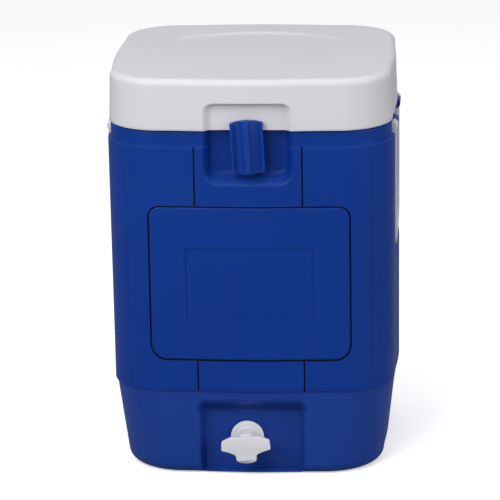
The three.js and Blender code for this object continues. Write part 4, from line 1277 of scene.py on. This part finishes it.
@dataclass
class Liner:
    """The white inner liner: its rim flange, its cavity wall and its floor."""

    form: BodyForm
    flange_start: float = 0.0076
    wall: float = 0.002
    foot_inset: float = 0.0151
    foot_half_depth: float = 0.1385
    floor_radius: float = 0.012
    pocket_clearance: float = 0.0033
    floor_rings: tuple[float, ...] = (0.030, 0.060)
    ring_slack: float = 0.0005

    def build(self) -> bpy.types.Object:
        """Models the liner and hands it over."""
        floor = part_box("inner_liner")[0].z + self.form.liner_wall
        mouth = self.form.top.inset(self.form.liner_inset + self.form.liner_wall)
        foot = replace(
            mouth, half_width=mouth.half_width - self.foot_inset, half_depth=self.foot_half_depth
        )
        rim = self.form.rim
        grown = self.pocket_clearance

        def place(column: Column, row: Row) -> Vector:
            """Returns a point of the liner."""
            if row.depth:
                flat = self.form.top.inset(row.inset).point(column)
                point = self.form.latch_pocket.press(Vector((flat.x, flat.y, row.z)), grown)
                for pocket in self.form.handle_pockets:
                    point = pocket.press(point, grown)
                return point
            section = foot.mixed(mouth, (row.z - floor) / (rim - floor))
            flat = section.inset(row.inset).point(column)
            return Vector((flat.x, flat.y, row.z))

        flange = [Row(rim - 0.002, self.flange_start, grown), Row(rim, self.flange_start, grown)]
        flange += [Row(rim, inset, grown) for inset in graded(0.011, (0.0255, 4))]
        edge = [Row(rim - 0.0003, -0.0007), Row(rim - 0.0012, -0.0001), Row(rim - 0.003)]
        wall = [Row(z) for z in graded(0.460, (floor + self.floor_radius, 16))]
        bend = []
        for degrees in (20, 40, 60, 75, 90):
            angle = math.radians(degrees)
            bend.append(
                Row(
                    floor + self.floor_radius * (1 - math.sin(angle)),
                    self.floor_radius * (1 - math.cos(angle)),
                )
            )
        bottom = [Row(floor, inset) for inset in self.floor_rings]
        front = graded(-1, (1, 30))
        rows = flange + edge + wall + bend + bottom
        liner = wrapped_skin("liner", body_columns(front), rows, place)
        reach = foot.half_width - self.floor_rings[-1] + self.ring_slack
        close_loop(
            liner, lambda co: co.z < floor + MERGE_DISTANCE and max(abs(co.x), abs(co.y)) < reach
        )
        make_active(liner)
        bpy.ops.object.mode_set(mode="EDIT")
        bpy.ops.mesh.select_all(action="SELECT")
        bpy.ops.mesh.normals_make_consistent(inside=False)
        bpy.ops.object.mode_set(mode="OBJECT")
        self.face_inwards(liner)
        thicken(liner, self.wall)
        return hand_over(liner, Finish.LINER_WHITE, "body", ["inner_liner"])

    @staticmethod
    def face_inwards(liner: bpy.types.Object) -> None:
        """Turns the skin's faces towards the cavity, so that its wall grows outwards."""
        lowest = min(liner.data.polygons, key=lambda face: face.center.z)
        if lowest.normal.z < 0:
            liner.data.flip_normals()


# ------------------------------------------------------------------ lid


@dataclass
class Lid:
    """The white lid: a deep skirt with a finger recess and a shallow dish in its top."""

    form: BodyForm
    side_inset: float = 0.0025
    overhang: float = 0.0027
    front_bulge: float = 0.0060
    taper: float = 0.002
    skirt_gap: float = 0.0015
    fillet: float = 0.009
    wall: float = 0.003
    dish_depth: float = 0.0022
    dish_edge: float = 0.0055
    dish_half_width: float = 0.1165
    dish_front: float = -0.105
    dish_rear: float = 0.1216
    dish_radius: float = 0.1668
    innermost_ring: float = 0.170
    ring_slack: float = 0.0005

    @property
    def skirt(self) -> Section:
        """The outline at the skirt's lower edge."""
        return Section(
            self.form.half_width - self.side_inset,
            self.form.half_depth + self.overhang,
            self.form.corner,
            self.front_bulge,
            self.form.side_bulge,
        )

    @property
    def pocket(self) -> Pocket:
        """The finger recess in the front of the skirt."""
        return Pocket(
            Wall.FRONT,
            floor=0.1682,
            half_width=0.0480,
            bottom=0.0,
            top=0.5035,
            side_draft=0.0100,
            bottom_draft=0.01,
            top_draft=0.0055,
            corner=0.007,
        )

    def rows(self, top: float) -> list[Row]:
        """Returns the lid's level lines from the skirt's edge to the middle of the top."""
        low = self.form.rim + self.skirt_gap
        lip = [(0.0001, 0.0016), (0.0004, 0.0008), (0.0012, 0.0002), (0.0030, 0.0)]
        rows = [Row(low + z, inset) for z, inset in lip]
        rows += [Row(z) for z in graded(0.480, (0.500, 3), (0.511, 14), (top - self.fillet, 4))]
        for degrees in graded(9, (90, 9)):
            angle = math.radians(degrees)
            rows.append(
                Row(
                    top - self.fillet * (1 - math.sin(angle)),
                    self.fillet * (1 - math.cos(angle)),
                )
            )
        rows += [Row(top, inset) for inset in graded(self.fillet + 0.002, (self.innermost_ring, 58))]
        return rows

    def dish(self, x: float, y: float) -> float:
        """Returns how far the top is sunk at a point."""
        from_side = self.dish_half_width - abs(x)
        centre = self.dish_rear - self.dish_radius
        from_rear = self.dish_radius - math.hypot(x, y - centre)
        inside = min(from_side, from_rear)
        slope = (y - self.dish_front) / (self.dish_rear - self.dish_front)
        return self.dish_depth * max(slope, 0.0) * ease(inside / self.dish_edge)

    def build(self) -> bpy.types.Object:
        """Models the lid's outer shell and hands it over."""
        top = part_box("lid_shell")[1].z
        low = self.form.rim + self.skirt_gap
        crown = self.skirt.inset(self.taper)

        def place(column: Column, row: Row) -> Vector:
            """Returns a point of the lid's outer skin."""
            section = self.skirt.mixed(crown, (row.z - low) / (top - self.fillet - low))
            flat = section.inset(row.inset).point(column)
            point = self.pocket.press(Vector((flat.x, flat.y, row.z)), 0.0)
            if row.z > top - MERGE_DISTANCE:
                point.z -= self.dish(point.x, point.y)
            return point

        front = graded(-1, (-0.56, 6), (-0.38, 14), (0.38, 12), (0.56, 14), (1, 6))
        lid = wrapped_skin("lid", body_columns(front), self.rows(top), place)
        reach = crown.half_width - self.innermost_ring + self.ring_slack
        close_loop(lid, lambda co: max(abs(co.x), abs(co.y)) < reach)
        tidy_mesh(lid)
        thicken(lid, self.wall)
        return hand_over(lid, Finish.LID_WHITE, "lid", ["lid_shell"])


# ------------------------------------------------------------------ latch


@dataclass
class Latch:
    """The quarter-turn latch: a bar with two scooped faces beside a central rib."""

    width: float = 0.0424
    length: float = 0.0714
    end_arc: float = 0.004
    rim: float = 0.009
    scoop: float = 0.0042
    rib_half: float = 0.0040
    rib_rise: float = 0.018
    rib_lean: float = 0.0012
    rib_foot: float = 0.0058
    rib_draft: float = 0.45
    tilt: float = math.radians(-2.7)
    rim_width: float = 0.0022
    spare: float = 0.002
    edge_round: float = 0.0012

    def profile(self, back: float) -> list[tuple[float, float, float]]:
        """Returns the bar's cross-section, at the bottom of the bar."""
        half, rib = self.width / 2, self.rib_half
        right = [(half, 0.0), (half, self.rim), (half - self.rim_width, self.rim)]
        right += bow(
            (half - self.rim_width, self.rim),
            (half * 0.52, self.scoop - 0.003),
            (self.rib_foot, self.rim + 0.0003),
            10,
        )
        right += [(rib + 0.0004, self.rim + 0.0014), (rib - 0.0006, self.rib_rise)]
        left = [(-x, rise) for x, rise in reversed(right)]
        left[0] = (-rib + 0.0006, self.rib_rise - self.rib_lean)
        return [(x, back - rise, -self.length / 2) for x, rise in right + left]

    def build(self) -> bpy.types.Object:
        """Models the latch and hands it over."""
        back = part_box("latch")[1].y
        low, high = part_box("latch_post")
        pivot = (low.z + high.z) / 2
        bar = slab_piece("latch_bar", self.profile(back), (0, 0, self.length))
        for vertex in bar.data.vertices:
            proud = max(back - vertex.co.y - self.rim - 0.001, 0.0)
            vertex.co.z -= math.copysign(proud * self.rib_draft, vertex.co.z)
        half, shoulder = self.width / 2 + self.spare, self.length / 2 - self.end_arc
        reach = self.length / 2 + self.end_arc
        ends = [(-half, -shoulder)] + bow((-half, -shoulder), (0, -reach), (half, -shoulder), 14)
        ends += [(half, shoulder)] + bow((half, shoulder), (0, reach), (-half, shoulder), 14)
        trim = slab_piece("trim", [(x, back + 0.01, z) for x, z in ends], (0, -0.05, 0))
        combine(bar, trim, Cut.KEEP)
        tidy_mesh(bar)
        soften(bar, self.edge_round, 3, 28)
        bar.matrix_world = Matrix.Translation((0, 0, pivot)) @ Matrix.Rotation(self.tilt, 4, "Y")
        bake_place(bar)
        return hand_over(bar, Finish.LATCH_BLUE, "latch", ["latch"])


# ------------------------------------------------------------------ carrying handles


@dataclass
class Handle:
    """A white bail with two arms and a flat grip."""

    side: int
    name: str
    half_width: float = 0.083
    arm: float = 0.013
    grip: float = 0.030
    corner: float = 0.020
    thickness: float = 0.009
    lean: float = 0.0005
    eye: float = 0.0065
    edge_round: float = 0.0016

    def build(self) -> bpy.types.Object:
        """Models the bail and hands it over."""
        node = f"handle_{self.name}"
        low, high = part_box(node)
        pin_low, pin_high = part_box(f"handle_pin_{self.name}_front")
        pivot_x, pivot_z = abs(pin_low.x + pin_high.x) / 2, (pin_low.z + pin_high.z) / 2
        bottom, top = low.z, high.z + 0.001
        inner = self.half_width - self.arm
        outline = [(-self.half_width, top)]
        outline += arc((self.corner - self.half_width, bottom + self.corner), self.corner, 180, 270, 10)
        outline += arc((self.half_width - self.corner, bottom + self.corner), self.corner, 270, 360, 10)
        outline += [(self.half_width, top), (inner, top)]
        mouth = self.corner / 2
        grip_top = bottom + self.grip
        outline += [
            (x, z) for x, z in reversed(arc((inner - mouth, grip_top + mouth), mouth, -90, 0, 8))
        ]
        outline += [
            (x, z) for x, z in reversed(arc((mouth - inner, grip_top + mouth), mouth, 180, 270, 8))
        ]
        outline += [(-inner, top)]
        bail = slab_piece(node + "_bail", [(0.15, y, z) for y, z in outline], (0.06, 0, 0))
        face = pivot_x + self.thickness / 2
        back = face - self.thickness
        profile = [
            (back - self.lean, bottom), (face - self.lean, bottom),
            (face, pivot_z), (back, pivot_z),
        ]
        arm = slab_piece("arm", [(x, 0.14, z) for x, z in profile], (0, -0.28, 0))
        eye = rod_piece("eye", Axis.Y, (pivot_x, 0, pivot_z), self.eye, 0.28, 48)
        combine(arm, eye, Cut.JOIN)
        combine(bail, arm, Cut.KEEP)
        soften(bail, self.edge_round, 3, 35)
        if self.side < 0:
            bail.matrix_world = Matrix.Rotation(math.pi, 4, "Z")
            bake_place(bail)
        return hand_over(bail, Finish.HANDLE_WHITE, node, [node])


# ------------------------------------------------------------------ tap


@dataclass
class Tap:
    """The white tap: a flanged body with a short spout, and a T-shaped turning handle."""

    flange: float = 0.0221
    barrel: float = 0.014
    spout: float = 0.0125
    bore: float = 0.0080
    bore_depth: float = 0.020
    flange_thickness: float = 0.004
    collar_rise: float = 0.0022
    collar_width: float = 0.005
    shank: float = 0.010
    hub: float = 0.0105
    hub_thickness: float = 0.0012
    edge_round: float = 0.0016
    handle_half: float = 0.0325
    handle_top: float = 0.0119
    handle_end: float = 0.0059
    stem_half: float = 0.013
    stem_drop: float = 0.021
    tilt: float = math.radians(-2.5)

    def centre(self) -> tuple[float, float]:
        """Returns the X and Z of the tap's axis."""
        low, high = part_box("tap_gasket")
        return (low.x + high.x) / 2, (low.z + high.z) / 2

    def build_body(self) -> bpy.types.Object:
        """Models the flange, the barrel, the spout and the shank as one moulding."""
        x, z = self.centre()
        low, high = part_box("tap_body")
        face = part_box("tap_gasket")[0].y - CAD_GAP
        front = low.y
        thick = self.flange_thickness
        flange = rod_piece("flange", Axis.Y, (x, face - thick / 2, z), self.flange, thick, 96)
        soften(flange, 0.0011, 4)
        barrel = rod_piece(
            "barrel", Axis.Y, (x, (face + front) / 2, z), self.barrel, face - front, 80
        )
        soften(barrel, 0.0012, 4)
        collar = rod_piece(
            "collar",
            Axis.Y,
            (x, face - 0.0055, z),
            self.barrel + self.collar_rise,
            self.collar_width,
            80,
        )
        soften(collar, 0.0012, 3)
        shank = rod_piece(
            "shank", Axis.Y, (x, (face + high.y) / 2, z), self.shank, high.y - face + 0.002, 48
        )
        spout_y = front + self.spout + 0.0005
        spout = rod_piece(
            "spout", Axis.Z, (x, spout_y, (low.z + z) / 2), self.spout, z - low.z, 80
        )
        soften(spout, 0.0010, 3)
        lip = rod_piece("lip", Axis.Z, (x, spout_y, low.z + 0.0016), self.spout + 0.0007, 0.0032, 80)
        soften(lip, 0.0008, 3)
        for part in (barrel, collar, shank, spout, lip):
            combine(flange, part, Cut.JOIN)
        bore = rod_piece(
            "bore", Axis.Z, (x, spout_y, low.z + 0.008), self.bore, self.bore_depth, 48
        )
        combine(flange, bore, Cut.AWAY)
        flange.name = "tap_moulding"
        return hand_over(flange, Finish.TAP_WHITE, "body", ["tap_body"])

    def build_handle(self) -> bpy.types.Object:
        """Models the T-shaped handle."""
        x, z = self.centre()
        low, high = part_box("tap_handle")
        half, end, stem = self.handle_half, self.handle_end, self.stem_half
        root = stem + 0.001
        right = [(stem - 0.0012, -self.stem_drop), (stem, -self.stem_drop + 0.0012)]
        right += [(root, -stem)]
        right += bow((root, -stem), (half * 0.62, -end - 0.0030), (half, -end), 10)
        right += [(half - 0.0006, end - 0.0012), (half - 0.0018, end + 0.0010)]
        right += [(half * 0.64, self.handle_top - 0.0006), (half * 0.58, self.handle_top)]
        outline = right + [(-u, w) for u, w in reversed(right)]
        handle = slab_piece(
            "tap_t_handle", [(u, high.y, w) for u, w in outline], (0, low.y - high.y, 0)
        )
        soften(handle, self.edge_round, 4, 35)
        hub = rod_piece(
            "hub", Axis.Y, (0, high.y + 0.0004, 0), self.hub, self.hub_thickness, 64
        )
        combine(handle, hub, Cut.JOIN)
        handle.matrix_world = Matrix.Translation((x, 0, z)) @ Matrix.Rotation(self.tilt, 4, "Y")
        bake_place(handle)
        return hand_over(handle, Finish.TAP_WHITE, "tap_valve", ["tap_handle"])


# ------------------------------------------------------------------ frame nodes that stay


def dress_nodes(nodes: Mapping[str, bpy.types.Object]) -> None:
    """Gives every CAD node its procedural material.

    Args:
        nodes: The CAD nodes by name.
    """
    by_word = (
        ("screw", Finish.STEEL), ("hinge_pin", Finish.STEEL), ("latch_post", Finish.STEEL),
        ("hinge", Finish.HINGE_WHITE), ("handle", Finish.HANDLE_WHITE), ("gasket", Finish.SEAL_GREY),
        ("washer", Finish.SEAL_GREY), ("o_ring", Finish.SEAL_GREY), ("foam", Finish.FOAM),
        ("liner", Finish.LINER_WHITE), ("lid", Finish.LID_WHITE), ("tap", Finish.TAP_WHITE),
        ("latch", Finish.LATCH_BLUE), ("", Finish.SHELL_BLUE),
    )
    for name, node in nodes.items():
        finish = next(finish for word, finish in by_word if word in name)
        node.data.materials.clear()
        node.data.materials.append(finish.material())
        LOG.info("%s: dressed as %s", name, finish.name.lower())


# ------------------------------------------------------------------ studio


@dataclass
class Studio:
    """The pale floor, the soft lights and the camera."""

    azimuth: float = 4.07
    elevation: float = 15.85
    distance: float = 4.4487
    roll: float = -0.91
    lens: float = 236.3
    sensor: float = 36.0
    aim: tuple[float, float, float] = (-0.01115, 0.0, 0.26294)
    floor_size: float = 14.0
    floor_drop: float = 0.0004

    def direction(self, azimuth: float, elevation: float) -> Vector:
        """Returns the unit vector from the object towards a place round it."""
        a, e = math.radians(azimuth), math.radians(elevation)
        return Vector((math.sin(a) * math.cos(e), -math.cos(a) * math.cos(e), math.sin(e)))

    def place_camera(self) -> None:
        """Sets up the camera."""
        data = bpy.data.cameras.new("camera")
        data.lens = self.lens
        data.sensor_width = self.sensor
        camera = bpy.data.objects.new("camera", data)
        bpy.context.scene.collection.objects.link(camera)
        toward = self.direction(self.azimuth, self.elevation)
        camera.location = Vector(self.aim) + toward * self.distance
        turn = (-toward).to_track_quat("-Z", "Y").to_matrix().to_4x4()
        roll = Matrix.Rotation(math.radians(self.roll), 4, "Z")
        camera.rotation_euler = (turn @ roll).to_euler()
        bpy.context.scene.camera = camera

    def add_light(
        self, name: str, azimuth: float, elevation: float, distance: float, size: float, power: float
    ) -> None:
        """Adds a soft area light aimed at the object.

        Args:
            name: The light's name.
            azimuth: Its place round the object, in degrees.
            elevation: Its height above the horizon, in degrees.
            distance: Its distance in metres.
            size: The side of its square in metres.
            power: Its power in watts.
        """
        data = bpy.data.lights.new(name, "AREA")
        data.size = size
        data.energy = power
        light = bpy.data.objects.new(name, data)
        bpy.context.scene.collection.objects.link(light)
        toward = self.direction(azimuth, elevation)
        light.location = Vector((0, 0, 0.25)) + toward * distance
        light.rotation_euler = (-toward).to_track_quat("-Z", "Y").to_euler()

    def build(self) -> None:
        """Builds the floor, the lights and the camera."""
        self.place_camera()
        start_clean()
        bpy.ops.mesh.primitive_plane_add(size=self.floor_size, location=(0, 0, -self.floor_drop))
        floor = bpy.context.object
        floor.name = "studio_floor"
        floor.data.materials.append(Finish.FLOOR.material())
        world = bpy.context.scene.world or bpy.data.worlds.new("studio_world")
        bpy.context.scene.world = world
        world.use_nodes = True
        sky = world.node_tree.nodes["Background"]
        sky.inputs["Color"].default_value = (0.97, 0.98, 1.0, 1)
        sky.inputs["Strength"].default_value = 0.46
        self.add_light("key", -32, 35, 2.6, 2.0, 52)
        self.add_light("top", 10, 84, 2.4, 1.6, 13)
        self.add_light("fill", 62, 20, 3.0, 1.6, 31)
        bpy.context.scene.view_settings.view_transform = "Standard"


def main() -> None:
    """Builds the dispenser's looks and its studio."""
    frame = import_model()
    dress_nodes(frame["nodes"])
    Studio().build()
    form = BodyForm()
    panel = FrontPanel(form)
    Shell(form).build(panel)
    panel.build()
    Base(form).build()
    Liner(form).build()
    Lid(form).build()
    Latch().build()
    for side, name in ((-1, "left"), (1, "right")):
        Handle(side, name).build()
    tap = Tap()
    tap.build_body()
    tap.build_handle()
    start_clean()
    LOG.info("sizes written")


if __name__ == "__main__":
    logging.basicConfig(level=logging.INFO, format="%(message)s")
    main()
